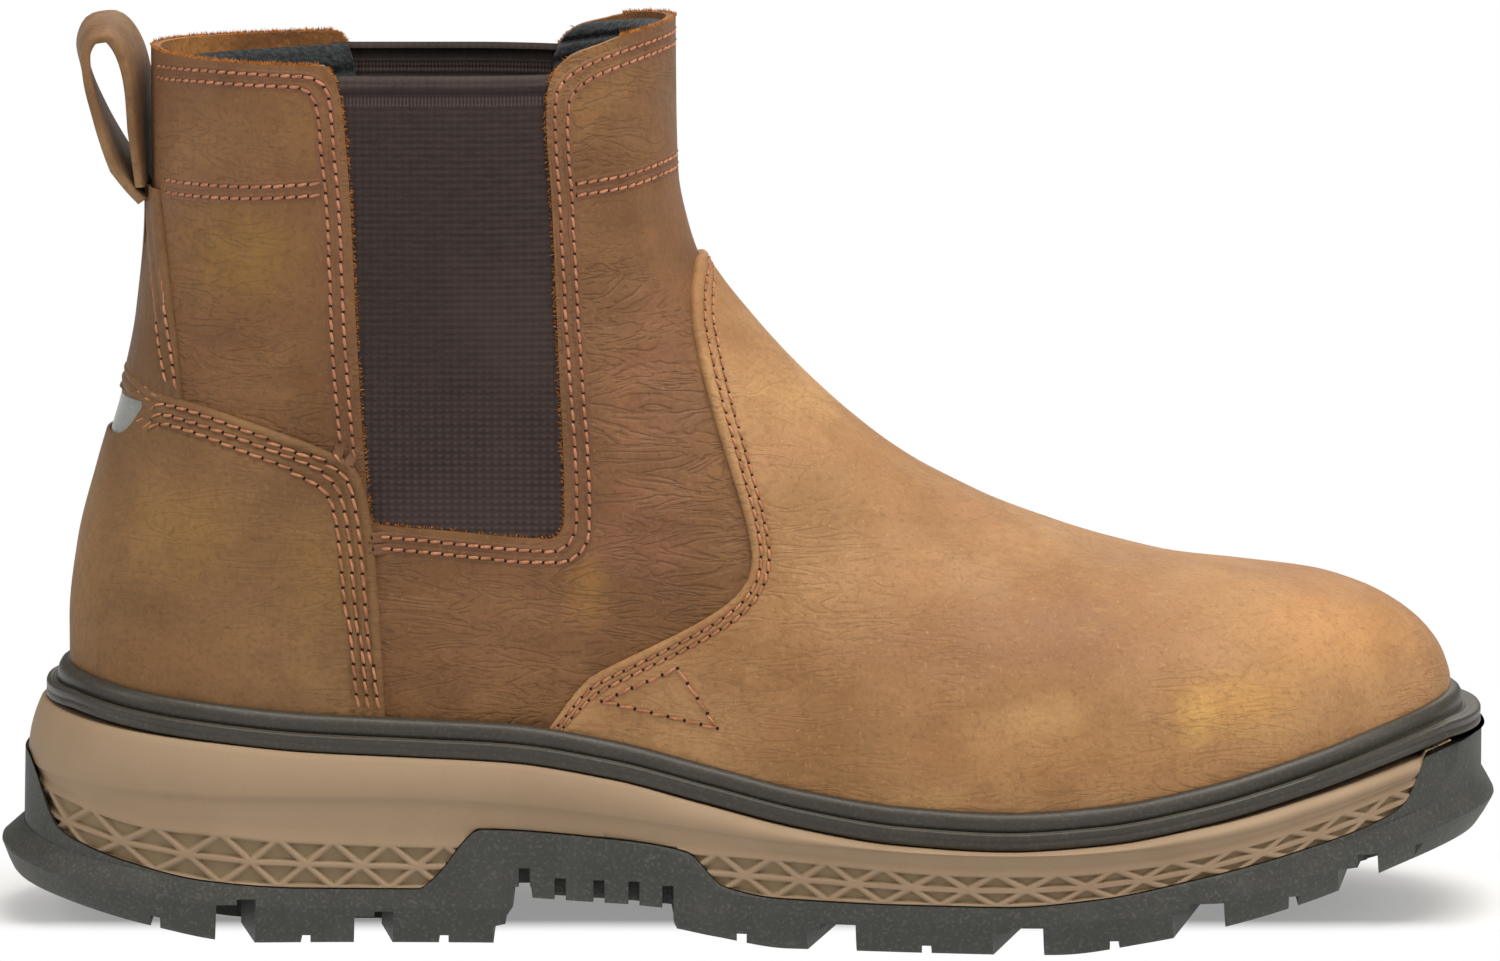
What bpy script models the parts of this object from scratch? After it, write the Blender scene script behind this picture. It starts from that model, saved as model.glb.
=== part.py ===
"""Right side gore work boot: leather upper with an elastic gore in each side, rubber welt,
foam midsole with a truss band, and a lugged rubber outsole. Metres, +Z up, toe along +X,
lateral side along -Y, origin on the floor under the middle of the sole."""
import math

import bmesh
import bpy
import numpy as np

# Lengths along the foot
UPPER_LENGTH = 0.2859
HEEL_LIP = 0.0164
TOE_LIP = 0.0111
# Heights above the floor
COLLAR_HEIGHT = 0.188
HEEL_STACK = 0.0535
# Widths of the upper, side to side
BALL_WIDTH = 0.0955
COLLAR_WIDTH = 0.077
# Roundness of the last, as the depth over which each wall turns in to its ridge
TOE_ROUND = 0.058
TOE_BOX_ROUND = 0.033
VAMP_ROUND = 0.050
SHAFT_FRONT_ROUND = 0.044
SHAFT_BACK_ROUND = 0.042
HEEL_ROUND = 0.036
ROUND_POWER = 2.3
SHAFT_POWER = 2.0
SIDE_BULGE = 0.0015
SEAT_OVERRUN = 0.003
# Walls and gaps
GAP = 0.0003
CURVED_GAP = 0.0004
FACET_GAP = 0.0005
UPPER_WALL = 0.0022
OVERLAY_WALL = 0.0015
BACKSTAY_WALL = 0.0011
REFLECTOR_WALL = 0.0007
GORE_WALL = 0.0016
GORE_LAP = 0.007
INSOLE_THICKNESS = 0.005
INSOLE_MARGIN = 0.0015
# Welt
WELT_HEIGHT = 0.0077
WELT_BEAD_WIDTH = 0.0022
WELT_BEAD_HEIGHT = 0.0040
# Sole side
SIDE_STEP = 0.010
TRUSS_DEPTH = 0.0011
TRUSS_EDGE = 0.0008
TRUSS_CELLS = 26
# Outsole
LUG_DEPTH = 0.0058
LUG_STEP = 0.0030
GROOVE_WIDTH = 0.0095
GROOVE_TURN = math.radians(14)
CHANNEL_WIDTH = 0.0065
CHANNEL_PLACE = 0.017
ARCH_RISE = 0.0085
ARCH_NOTCH_WIDTH = 0.0030
ARCH_NOTCH_HEIGHT = 0.0050
ARCH_NOTCH_DEPTH = 0.0024
ARCH_NOTCHES = 5
# Pull loop
LOOP_WIDTH = 0.021
LOOP_THICKNESS = 0.0020
LOOP_FLARE = 0.0015
# Faceting
SHAFT_SECTIONS = 6
HALF_SECTION = 10
PROFILE_POINTS = 400
LOOP_POINTS = 17
CUT_POINTS = 30
WELT_STEPS = 36
TREAD_STEPS = 30
END_CROWDING = 0.10

SOLE_LENGTH = HEEL_LIP + UPPER_LENGTH + TOE_LIP
SOLE_START = -SOLE_LENGTH / 2
HEEL_X = SOLE_START + HEEL_LIP
TIP_X = HEEL_X + UPPER_LENGTH
REACH = 2 * BALL_WIDTH

# Plan of the upper at the welt: place along the foot as a share of UPPER_LENGTH,
# middle line towards the medial side and half width as shares of BALL_WIDTH
PLAN = (
    # place, middle, half
    (0.00, 0.000, 0.348),
    (0.13, 0.000, 0.350),
    (0.28, -0.012, 0.348),
    (0.40, -0.030, 0.355),
    (0.52, -0.036, 0.398),
    (0.62, -0.030, 0.455),
    (0.71, -0.014, 0.497),
    (0.80, 0.008, 0.503),
    (0.88, 0.034, 0.475),
    (1.00, 0.075, 0.430),
)
# Front profile from the toe tip to the collar: shares of UPPER_LENGTH and COLLAR_HEIGHT
FRONT = (
    # place, height
    (1.0000, 0.190),
    (1.0000, 0.250),
    (0.9950, 0.279),
    (0.9830, 0.306),
    (0.9640, 0.330),
    (0.9390, 0.350),
    (0.9050, 0.366),
    (0.8530, 0.3765),
    (0.8010, 0.3860),
    (0.7400, 0.4105),
    (0.6660, 0.4520),
    (0.5930, 0.5110),
    (0.5360, 0.5830),
    (0.4850, 0.6660),
    (0.4585, 0.7210),
    (0.4465, 0.7700),
    (0.4395, 0.8250),
    (0.4380, 0.9000),
    (0.4375, 1.0000),
)
# Back profile from the heel seat to the collar: shares of UPPER_LENGTH and COLLAR_HEIGHT
BACK = (
    # place, height
    (0.0000, 0.228),
    (0.0000, 0.330),
    (0.0061, 0.414),
    (0.0212, 0.504),
    (0.0380, 0.592),
    (0.0490, 0.675),
    (0.0555, 0.790),
    (0.0560, 0.968),
)
# Cross sections fanned round the ankle, one row each: share of the front profile
# and share of the seat from the toe tip to the heel
FOOT_FAN = (
    # front, seat
    (0.000, 0.000),
    (0.018, 0.002),
    (0.040, 0.010),
    (0.066, 0.026),
    (0.094, 0.052),
    (0.124, 0.085),
    (0.158, 0.125),
    (0.200, 0.176),
    (0.248, 0.233),
    (0.302, 0.298),
    (0.362, 0.370),
    (0.422, 0.445),
    (0.482, 0.524),
    (0.542, 0.606),
    (0.600, 0.688),
    (0.652, 0.765),
    (0.695, 0.828),
    (0.728, 0.878),
    (0.754, 0.920),
    (0.775, 0.953),
    (0.792, 0.978),
    (0.806, 0.993),
    (0.818, 1.000),
)
COLLAR_SAG = 0.003
# Top of the welt: shares of UPPER_LENGTH and HEEL_STACK
WELT_TOP = (
    # place, height
    (0.00, 1.000),
    (0.045, 0.958),
    (0.10, 0.920),
    (0.17, 0.880),
    (0.25, 0.860),
    (0.32, 0.842),
    (0.39, 0.785),
    (0.46, 0.694),
    (0.53, 0.606),
    (0.60, 0.553),
    (0.67, 0.537),
    (0.745, 0.562),
    (0.82, 0.636),
    (0.89, 0.726),
    (0.96, 0.825),
    (1.00, 0.872),
)
# Offsets out from the upper's outline round the sole, as shares of SIDE_STEP
SIDE_STEPS = (
    # place, welt, shelf, swell, truss, top, lip, foot
    (0.00, 0.68, 0.76, 1.06, 1.00, 1.18, 1.64, 1.42),
    (0.10, 0.66, 0.74, 0.98, 0.92, 1.02, 1.16, 0.96),
    (0.25, 0.64, 0.70, 0.88, 0.80, 0.88, 0.94, 0.78),
    (0.50, 0.62, 0.68, 0.84, 0.76, 0.84, 0.90, 0.76),
    (0.75, 0.64, 0.70, 0.86, 0.78, 0.86, 0.92, 0.76),
    (0.92, 0.72, 0.74, 0.84, 0.78, 0.84, 0.98, 0.76),
    (1.00, 0.82, 0.78, 0.84, 0.78, 0.84, 1.11, 0.79),
)
# Side lines of the sole over its length: swell of the midsole, top of the truss band,
# foot of the truss band, widest line and ground line of the outsole, shares of HEEL_STACK
SIDE_LINES = (
    # place, swell, truss top, truss foot, lip, ground
    (0.000, 0.660, 0.650, 0.480, 0.363, 0.284),
    (0.030, 0.640, 0.610, 0.430, 0.340, 0.225),
    (0.070, 0.600, 0.530, 0.335, 0.250, 0.150),
    (0.112, 0.580, 0.455, 0.280, 0.190, 0.070),
    (0.160, 0.568, 0.425, 0.226, 0.150, 0.006),
    (0.180, 0.566, 0.410, 0.218, 0.145, 0.000),
    (0.282, 0.560, 0.385, 0.209, 0.140, 0.000),
    (0.350, 0.540, 0.380, 0.209, 0.140, 0.000),
    (0.440, 0.480, 0.372, 0.209, 0.140, 0.075),
    (0.480, 0.450, 0.368, 0.205, 0.140, 0.040),
    (0.530, 0.415, 0.352, 0.192, 0.135, 0.000),
    (0.650, 0.385, 0.314, 0.183, 0.125, 0.000),
    (0.700, 0.388, 0.318, 0.196, 0.128, 0.000),
    (0.760, 0.412, 0.350, 0.238, 0.160, 0.045),
    (0.820, 0.470, 0.420, 0.318, 0.225, 0.118),
    (0.862, 0.530, 0.485, 0.378, 0.285, 0.180),
    (0.920, 0.620, 0.585, 0.475, 0.390, 0.285),
    (0.960, 0.670, 0.640, 0.545, 0.450, 0.340),
    (1.000, 0.700, 0.680, 0.580, 0.480, 0.376),
)
# Parting line of outsole and midsole in side view: heel clip, arch and toe bumper rise
# above the foot of the truss band; shares of SOLE_LENGTH and HEEL_STACK
PARTING = (
    # place, height
    (-0.050, 0.660),
    (0.018, 0.655),
    (0.042, 0.400),
    (0.060, 0.352),
    (0.095, 0.296),
    (0.140, 0.242),
    (0.205, 0.212),
    (0.282, 0.209),
    (0.2945, 0.262),
    (0.315, 0.412),
    (0.3225, 0.444),
    (0.409, 0.412),
    (0.459, 0.366),
    (0.4835, 0.235),
    (0.520, 0.194),
    (0.600, 0.183),
    (0.665, 0.183),
    (0.730, 0.215),
    (0.795, 0.290),
    (0.862, 0.375),
    (0.920, 0.470),
    (0.934, 0.520),
    (0.955, 0.780),
    (1.050, 0.900),
)
# Side notches that part the lugs, each with a lower step at its rear: shares of SOLE_LENGTH
# and GROOVE_WIDTH
GROOVES = (
    # place, width, step
    (0.160, 0.80, 0.22),
    (0.252, 0.85, 0.24),
    (0.556, 1.10, 0.38),
    (0.678, 1.15, 0.28),
    (0.798, 1.15, 0.28),
    (0.905, 0.85, 0.22),
)
ARCH_START = 0.338
ARCH_END = 0.450
# Lengthwise channels under heel and forefoot: shares of SOLE_LENGTH
CHANNELS = (
    # start, end
    (0.110, 0.300),
    (0.500, 0.740),
)
# Panel edges in side view: shares of UPPER_LENGTH and COLLAR_HEIGHT
VAMP_EDGE = (
    # place, height
    (0.5200, 0.7560),
    (0.4640, 0.7500),
    (0.4560, 0.7250),
    (0.4500, 0.6980),
    (0.4530, 0.6520),
    (0.4660, 0.5750),
    (0.4800, 0.5090),
    (0.4910, 0.4540),
    (0.4940, 0.4200),
    (0.4880, 0.3950),
    (0.4700, 0.3720),
    (0.4410, 0.3420),
    (0.3830, 0.2990),
    (0.3000, 0.2400),
    (0.3000, 0.1000),
)
COUNTER_EDGE = (
    # place, height
    (-0.050, 0.612),
    (0.030, 0.612),
    (0.060, 0.600),
    (0.095, 0.588),
    (0.138, 0.564),
    (0.181, 0.536),
    (0.200, 0.518),
    (0.211, 0.495),
    (0.216, 0.465),
    (0.221, 0.421),
    (0.225, 0.333),
    (0.228, 0.200),
    (0.228, 0.100),
    (-0.050, 0.100),
)
WINDOW_EDGE = (
    # place, height
    (-0.050, 0.5880),
    (0.0300, 0.5860),
    (0.0450, 0.5810),
    (0.0530, 0.5740),
    (0.0480, 0.5560),
    (0.0370, 0.5400),
    (0.0250, 0.5340),
    (-0.050, 0.5320),
)
BACKSTAY_EDGE = (
    # place, height
    (-0.050, 0.7960),
    (0.0680, 0.7960),
    (0.0720, 0.7400),
    (0.0790, 0.6550),
    (0.0860, 0.5400),
    (-0.050, 0.5400),
)
GORE_EDGE = (
    # place, height
    (0.1720, 1.1000),
    (0.1720, 0.9950),
    (0.1860, 0.9780),
    (0.1950, 0.9600),
    (0.2010, 0.9350),
    (0.2050, 0.8180),
    (0.2095, 0.6530),
    (0.2180, 0.4700),
    (0.2215, 0.4580),
    (0.2750, 0.4490),
    (0.3380, 0.4415),
    (0.3500, 0.4450),
    (0.3565, 0.4560),
    (0.3580, 0.4750),
    (0.3535, 0.6530),
    (0.3485, 0.8180),
    (0.3450, 0.9330),
    (0.3500, 0.9600),
    (0.3640, 0.9780),
    (0.3900, 0.9960),
    (0.3900, 1.1000),
)
GORE_TOP = 0.945
# Pull loop's middle line in side view, from the backstay up and over to its inner end
LOOP_PATH = (
    # place, height
    (0.0505, 0.7990),
    (0.0420, 0.8180),
    (0.0290, 0.8550),
    (0.0180, 0.8950),
    (0.0095, 0.9350),
    (0.0068, 0.9620),
    (0.0140, 0.9850),
    (0.0270, 0.9880),
    (0.0390, 0.9730),
    (0.0470, 0.9450),
    (0.0495, 0.9200),
    (0.0495, 0.8950),
    (0.0495, 0.8600),
)


def column(table, index):
    return [row[index] for row in table]


def slopes(xs, ys):
    """Tangents that keep a curve through the points from overshooting them."""
    rises = np.diff(ys) / np.diff(xs)
    tangents = np.empty(len(xs))
    tangents[0], tangents[-1] = rises[0], rises[-1]
    for i in range(1, len(xs) - 1):
        before, after = rises[i - 1], rises[i]
        tangents[i] = 0.0 if before * after <= 0 else 2 * before * after / (before + after)
    return tangents


def smooth(xs, ys, at):
    """Smooth curve through (xs, ys), read at the given places."""
    xs, ys = np.asarray(xs, float), np.asarray(ys, float)
    at = np.clip(np.asarray(at, float), xs[0], xs[-1])
    tangents = slopes(xs, ys)
    i = np.clip(np.searchsorted(xs, at, side="right") - 1, 0, len(xs) - 2)
    step = xs[i + 1] - xs[i]
    t = (at - xs[i]) / step
    rise = t * t * (3 - 2 * t)
    lean = tangents[i] * t * (1 - t) ** 2 - tangents[i + 1] * t * t * (1 - t)
    return ys[i] * (1 - rise) + ys[i + 1] * rise + step * lean


def ease(value):
    value = np.clip(value, 0.0, 1.0)
    return value * value * (3 - 2 * value)


def turn_in(depth, power=ROUND_POWER):
    """Share of the full width at a depth below the ridge, 1 where the wall has turned over."""
    inside = 1 - np.clip(depth, 0.0, 1.0)
    return (1 - inside**power) ** (1 / power)


def upper_points(table):
    """Side view points of a table of shares of the upper, in metres."""
    return [(HEEL_X + row[0] * UPPER_LENGTH, row[1] * COLLAR_HEIGHT) for row in table]


def even_curve(points, count=PROFILE_POINTS):
    """Evenly spaced points on a smooth curve through a few side view points."""
    points = np.array(points, float)
    chord = np.concatenate([[0], np.cumsum(np.linalg.norm(np.diff(points, axis=0), axis=1))])
    fine = np.linspace(0, chord[-1], 4 * PROFILE_POINTS)
    dense = np.stack([smooth(chord, points[:, k], fine) for k in (0, 1)], axis=1)
    run = np.concatenate([[0], np.cumsum(np.linalg.norm(np.diff(dense, axis=0), axis=1))])
    even = np.linspace(0, run[-1], count)
    return np.stack([np.interp(even, run, dense[:, k]) for k in (0, 1)], axis=1)


def along(curve, share):
    """Point of an evenly spaced curve at a share of its length."""
    at = np.clip(share, 0, 1) * (len(curve) - 1)
    return np.stack([np.interp(at, np.arange(len(curve)), curve[:, k]) for k in (0, 1)], axis=-1)


def welt_top(x):
    share = (x - HEEL_X) / UPPER_LENGTH
    return HEEL_STACK * smooth(column(WELT_TOP, 0), column(WELT_TOP, 1), share)


def seat(x):
    """Height of the surface that the upper, the welt and the insole stand on."""
    return welt_top(x) - WELT_HEIGHT


def side_line(index, x):
    share = (x - SOLE_START) / SOLE_LENGTH
    return HEEL_STACK * smooth(column(SIDE_LINES, 0), column(SIDE_LINES, index), share)


def plan_middle(x):
    share = (x - HEEL_X) / UPPER_LENGTH
    return BALL_WIDTH * smooth(column(PLAN, 0), column(PLAN, 1), share)


def plan_half(x):
    share = (x - HEEL_X) / UPPER_LENGTH
    half = BALL_WIDTH * smooth(column(PLAN, 0), column(PLAN, 2), share)
    return half * turn_in((TIP_X - x) / TOE_ROUND)


FRONT_CURVE = even_curve(upper_points(FRONT))
BACK_CURVE = even_curve(upper_points(BACK))
SEAT_XS = np.linspace(TIP_X, HEEL_X, PROFILE_POINTS)
SEAT_CURVE = np.stack([SEAT_XS, seat(SEAT_XS) - SEAT_OVERRUN], axis=1)
ANKLE_LOW = 0.32 * COLLAR_HEIGHT
ANKLE_HIGH = 0.70 * COLLAR_HEIGHT
TOE_BOX_START = HEEL_X + 0.62 * UPPER_LENGTH
TOE_BOX_FULL = HEEL_X + 0.80 * UPPER_LENGTH


def half_width(x, z):
    """Half width of the upper's outside at side view points."""
    to_shaft = ease((z - ANKLE_LOW) / (ANKLE_HIGH - ANKLE_LOW))
    flare = 0.93 + 0.07 * ease((z - ANKLE_LOW) / (COLLAR_HEIGHT - ANKLE_LOW))
    bulge = SIDE_BULGE * np.sin(math.pi * np.clip((z - seat(x)) / HEEL_STACK, 0, 1))
    foot = plan_half(x) + bulge * turn_in((TIP_X - x) / TOE_ROUND)
    base = foot * (1 - to_shaft) + flare * COLLAR_WIDTH / 2 * to_shaft
    nearest = np.hypot(x[:, None] - FRONT_CURVE[:, 0], z[:, None] - FRONT_CURVE[:, 1]).min(axis=1)
    roundness = VAMP_ROUND + (SHAFT_FRONT_ROUND - VAMP_ROUND) * to_shaft
    top = np.interp(-x, -FRONT_CURVE[:, 0], FRONT_CURVE[:, 1])
    box_round = np.minimum(TOE_BOX_ROUND, np.maximum(top - seat(x), GAP))
    to_box = ease((x - TOE_BOX_START) / (TOE_BOX_FULL - TOE_BOX_START))
    depth = nearest / roundness * (1 - to_box) + (top - z) / box_round * to_box
    back = np.interp(z, BACK_CURVE[:, 1], BACK_CURVE[:, 0])
    back_round = HEEL_ROUND + (SHAFT_BACK_ROUND - HEEL_ROUND) * to_shaft
    power = ROUND_POWER + (SHAFT_POWER - ROUND_POWER) * to_shaft
    return base * turn_in(depth, power) * turn_in((x - back) / back_round, power)


def middle(x, z):
    return plan_middle(x) * (1 - ease((z - ANKLE_LOW) / (ANKLE_HIGH - ANKLE_LOW)))


def section(index):
    """Side view points of one cross section, from the ridge down to the lower edge."""
    foot = len(FOOT_FAN) - 1
    rise = max(0.0, (index - foot) / SHAFT_SECTIONS)
    front, seat_share = FOOT_FAN[min(index, foot)]
    top = along(FRONT_CURVE, front + (1 - front) * rise)
    low = along(BACK_CURVE, rise) if rise else along(SEAT_CURVE, seat_share)
    j = np.arange(HALF_SECTION + 1) / HALF_SECTION
    to_heel = ease((index / foot - 0.45) / 0.5)
    v = (1 - np.cos(j * math.pi / 2)) * (1 - to_heel) + (1 - np.cos(j * math.pi)) / 2 * to_heel
    points = top + (low - top) * v[:, None]
    points[:, 1] -= COLLAR_SAG * rise**2 * 4 * v * (1 - v)
    return points


def new_object(name, verts, faces, place="side_gore_work_boot"):
    mesh = bpy.data.meshes.new(name)
    mesh.from_pydata(verts, [], faces)
    obj = bpy.data.objects.new(name, mesh)
    bpy.data.collections[place].objects.link(obj)
    return obj


def skin(name, lift, wall, outward, first=0):
    """Shell on the upper's surface, moved out by lift and thickened by wall."""
    foot = len(FOOT_FAN) - 1
    verts, loops = [], []
    for index in range(first, foot + SHAFT_SECTIONS + 1):
        points = section(index)
        x, z = points[:, 0], points[:, 1]
        half, mid = half_width(x, z), middle(x, z)
        closed = index >= foot
        if index == 0:
            loops.append([0] * (2 * HALF_SECTION + 1))
            verts.append((x[0], mid[0], z[0]))
            continue
        half[0] = 0.0
        if closed:
            half[-1] = 0.0
        places = [(j, -1) for j in range(HALF_SECTION, 0, -1)] + [(0, 1)]
        places += [(j, 1) for j in range(1, HALF_SECTION + (0 if closed else 1))]
        loop = list(range(len(verts), len(verts) + len(places)))
        verts += [(x[j], mid[j] + side * half[j], z[j]) for j, side in places]
        loops.append(loop + [loop[0]] if closed else loop)
    faces = []
    for low, high in zip(loops, loops[1:]):
        for j in range(2 * HALF_SECTION):
            corners = dict.fromkeys((low[j], low[j + 1], high[j + 1], high[j]))
            if len(corners) > 2:
                faces.append(tuple(corners))
    obj = new_object(name, verts, faces)
    shape = bmesh.new()
    shape.from_mesh(obj.data)
    bmesh.ops.triangulate(shape, faces=shape.faces)
    shape.normal_update()
    moves = [vert.normal * vert.calc_shell_factor() * lift for vert in shape.verts]
    for vert, move in zip(shape.verts, moves):
        vert.co += move
    shape.to_mesh(obj.data)
    shape.free()
    shell = obj.modifiers.new("wall", "SOLIDIFY")
    shell.thickness = wall
    shell.offset = 1 if outward else -1
    shell.use_even_offset = True
    return obj


def prism(name, outline, low=-REACH, high=REACH):
    """Cutter with a side view outline, running across the boot."""
    n = len(outline)
    verts = [(x, low, z) for x, z in outline] + [(x, high, z) for x, z in outline]
    faces = [tuple(range(n)), tuple(range(2 * n - 1, n - 1, -1))]
    faces += [(i, i + n, (i + 1) % n + n, (i + 1) % n) for i in range(n)]
    obj = new_object(name, verts, faces, "cutters")
    close(obj)
    obj.hide_render = True
    obj.display_type = "WIRE"
    return obj


def blocks(name, shapes):
    """Cutter of upright blocks, each a plan outline with a low and a high end."""
    verts, faces = [], []
    for plan, heights in shapes:
        n, start = len(plan), len(verts)
        verts += [(x, y, z) for z in heights for x, y in plan]
        faces += [tuple(range(start, start + n)), tuple(range(start + n, start + 2 * n))]
        faces += [
            (start + i, start + (i + 1) % n, start + n + (i + 1) % n, start + n + i)
            for i in range(n)
        ]
    obj = new_object(name, verts, faces, "cutters")
    close(obj)
    obj.hide_render = True
    obj.display_type = "WIRE"
    return obj


def grown(outline, distance):
    """Outline moved out by a distance, corner by corner."""
    points = np.array(outline)
    ahead = np.roll(points, -1, axis=0) - points
    ahead /= np.linalg.norm(ahead, axis=1)[:, None]
    behind = np.roll(ahead, 1, axis=0)
    area = np.sum(points[:, 0] * np.roll(points[:, 1], -1) - np.roll(points[:, 0], -1) * points[:, 1])
    turn = math.copysign(1.0, area)
    normal = np.stack([ahead[:, 1] + behind[:, 1], -(ahead[:, 0] + behind[:, 0])], axis=1)
    share = 1 + np.sum(ahead * behind, axis=1)
    return points + turn * distance * normal / share[:, None]


def cut(obj, cutter, operation="DIFFERENCE"):
    step = obj.modifiers.new(cutter.name, "BOOLEAN")
    step.object = cutter
    step.operation = operation
    step.solver = "EXACT"


def outline(rise, steps, crowding=END_CROWDING):
    """Upper's outline at a rise over the seat: points and outward directions, crowded
    at heel and toe. Runs from the heel along the lateral side and back along the medial."""
    turns = np.linspace(0, math.pi, PROFILE_POINTS)
    xs = HEEL_X + UPPER_LENGTH * (1 - np.cos(turns)) / 2
    zs = seat(xs) + rise
    half, mid = half_width(xs, zs), middle(xs, zs)
    half[[0, -1]] = 0.0
    sides = []
    for side in (-1, 1):
        path = np.stack([xs, mid + side * half], axis=1)
        run = np.concatenate([[0], np.cumsum(np.linalg.norm(np.diff(path, axis=0), axis=1))])
        even = np.linspace(0, 1, steps + 1)
        even = run[-1] * (even - crowding * np.sin(2 * math.pi * even))
        sides.append(np.stack([np.interp(even, run, path[:, k]) for k in (0, 1)], axis=1))
    points = np.concatenate([sides[0], sides[1][-2:0:-1]])
    chord = np.roll(points, -1, axis=0) - np.roll(points, 1, axis=0)
    normals = np.stack([chord[:, 1], -chord[:, 0]], axis=1)
    normals /= np.linalg.norm(normals, axis=1)[:, None]
    return points, normals


def step_out(x, index):
    share = (x - HEEL_X) / UPPER_LENGTH
    return SIDE_STEP * smooth(column(SIDE_STEPS, 0), column(SIDE_STEPS, index), share)


def ring(base, offset, height):
    """Points round the outline, moved out by an offset, at a height that follows x."""
    points, normals = base
    out = points + normals * np.broadcast_to(offset, len(points))[:, None]
    z = height(out[:, 0])
    return [(x, y, h) for (x, y), h in zip(out, z)]


def lofted(name, rings, capped=True):
    """Solid through rings of equal count: capped at both ends, or closed on itself."""
    n = len(rings[0])
    verts = [point for row in rings for point in row]
    faces = []
    last = len(rings) if not capped else len(rings) - 1
    for level in range(last):
        low, high = level * n, (level + 1) % len(rings) * n
        faces += [(low + i, high + i, high + (i + 1) % n, low + (i + 1) % n) for i in range(n)]
    if capped:
        for start in (0, (len(rings) - 1) * n):
            faces.append((start, start + 1, start + n - 1))
            faces.append((start + n // 2 - 1, start + n // 2, start + n // 2 + 1))
            faces += [
                (start + i, start + i + 1, start + n - i - 1, start + n - i)
                for i in range(1, n // 2 - 1)
            ]
    obj = new_object(name, verts, faces)
    close(obj)
    return obj


def close(obj):
    """Triangulate a solid and turn its faces outward."""
    shape = bmesh.new()
    shape.from_mesh(obj.data)
    bmesh.ops.triangulate(shape, faces=shape.faces)
    bmesh.ops.recalc_face_normals(shape, faces=shape.faces)
    shape.to_mesh(obj.data)
    shape.free()


def painted(obj, name, colour, roughness):
    material = bpy.data.materials.new(name)
    material.use_nodes = True
    shader = material.node_tree.nodes["Principled BSDF"]
    shader.inputs["Base Color"].default_value = (*colour, 1)
    shader.inputs["Roughness"].default_value = roughness
    obj.data.materials.clear()
    obj.data.materials.append(material)


for old in list(bpy.data.objects):
    bpy.data.objects.remove(old, do_unlink=True)
for place in ("side_gore_work_boot", "cutters"):
    bpy.context.scene.collection.children.link(bpy.data.collections.new(place))

# Cutters shared by the panels
under_seat = [(x, seat(x) + GAP) for x in np.linspace(HEEL_X - 0.02, TIP_X + 0.02, CUT_POINTS)]
below_seat = prism("below_seat", under_seat + [(TIP_X + 0.02, 0), (HEEL_X - 0.02, 0)])
under_welt = [(x, welt_top(x) + FACET_GAP) for x in np.linspace(HEEL_X - 0.02, TIP_X + 0.02, CUT_POINTS)]
below_welt = prism("below_welt", under_welt + [(TIP_X + 0.02, 0), (HEEL_X - 0.02, 0)])
gore_outline = upper_points(GORE_EDGE)
counter_outline = upper_points(COUNTER_EDGE)
window_outline = upper_points(WINDOW_EDGE)

# Upper: one leather shell, open at collar and seat, notched for a gore on each side
upper = skin("upper", 0.0, UPPER_WALL, outward=False)
cut(upper, below_seat)
cut(upper, prism("gore_notch", gore_outline))
painted(upper, "brown_leather", (0.23, 0.12, 0.06), 0.6)

# Vamp: leather laid over toe and instep, up to a tab on the front of the shaft
vamp = skin("vamp", CURVED_GAP, OVERLAY_WALL, outward=True)
front_far = TIP_X + REACH
vamp_outline = upper_points(VAMP_EDGE)
vamp_outline += [(front_far, vamp_outline[-1][1]), (front_far, vamp_outline[0][1])]
cut(vamp, prism("vamp_outline", vamp_outline), "INTERSECT")
cut(vamp, below_welt)
painted(vamp, "tan_leather", (0.40, 0.23, 0.12), 0.65)

# Heel counter: leather cup over the heel with a window at the back
counter = skin("heel_counter", CURVED_GAP, OVERLAY_WALL, outward=True)
cut(counter, prism("counter_outline", counter_outline), "INTERSECT")
cut(counter, prism("counter_window", grown(window_outline, GAP)))
cut(counter, below_welt)
painted(counter, "heel_leather", (0.28, 0.15, 0.07), 0.6)

# Reflector: pale strip in the window of the counter
reflector = skin("heel_reflector", CURVED_GAP, REFLECTOR_WALL, outward=True, first=12)
cut(reflector, prism("reflector_outline", window_outline), "INTERSECT")
painted(reflector, "reflective_grey", (0.36, 0.37, 0.33), 0.35)

# Backstay: strip up the back seam, from the counter to the pull loop
backstay = skin("backstay", CURVED_GAP, BACKSTAY_WALL, outward=True, first=12)
cut(backstay, prism("backstay_outline", upper_points(BACKSTAY_EDGE)), "INTERSECT")
cut(backstay, prism("over_counter", grown(counter_outline, GAP)))
painted(backstay, "back_leather", (0.20, 0.10, 0.045), 0.6)

# Gores: elastic panels lapped inside the notches
gore_low = [point for point in gore_outline if point[1] <= GORE_TOP * COLLAR_HEIGHT]
gore_panel = [(x, min(z, GORE_TOP * COLLAR_HEIGHT)) for x, z in grown(gore_low, GORE_LAP)]
for side, low, high in (("lateral", -REACH, -GORE_LAP), ("medial", GORE_LAP, REACH)):
    gore = skin(f"gore_{side}", -UPPER_WALL - CURVED_GAP, GORE_WALL, outward=False, first=12)
    cut(gore, prism(f"gore_{side}_outline", gore_panel, low, high), "INTERSECT")
    painted(gore, f"elastic_{side}", (0.045, 0.030, 0.027), 0.8)

# Insole: cushioned bed inside the upper
inner = outline(INSOLE_THICKNESS, TREAD_STEPS)
inset = -UPPER_WALL - INSOLE_MARGIN
insole = lofted("insole", [
    ring(inner, inset, lambda x: seat(x) + FACET_GAP),
    ring(inner, inset, lambda x: seat(x) + FACET_GAP + INSOLE_THICKNESS),
])
painted(insole, "grey_bed", (0.06, 0.06, 0.065), 0.9)

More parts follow.
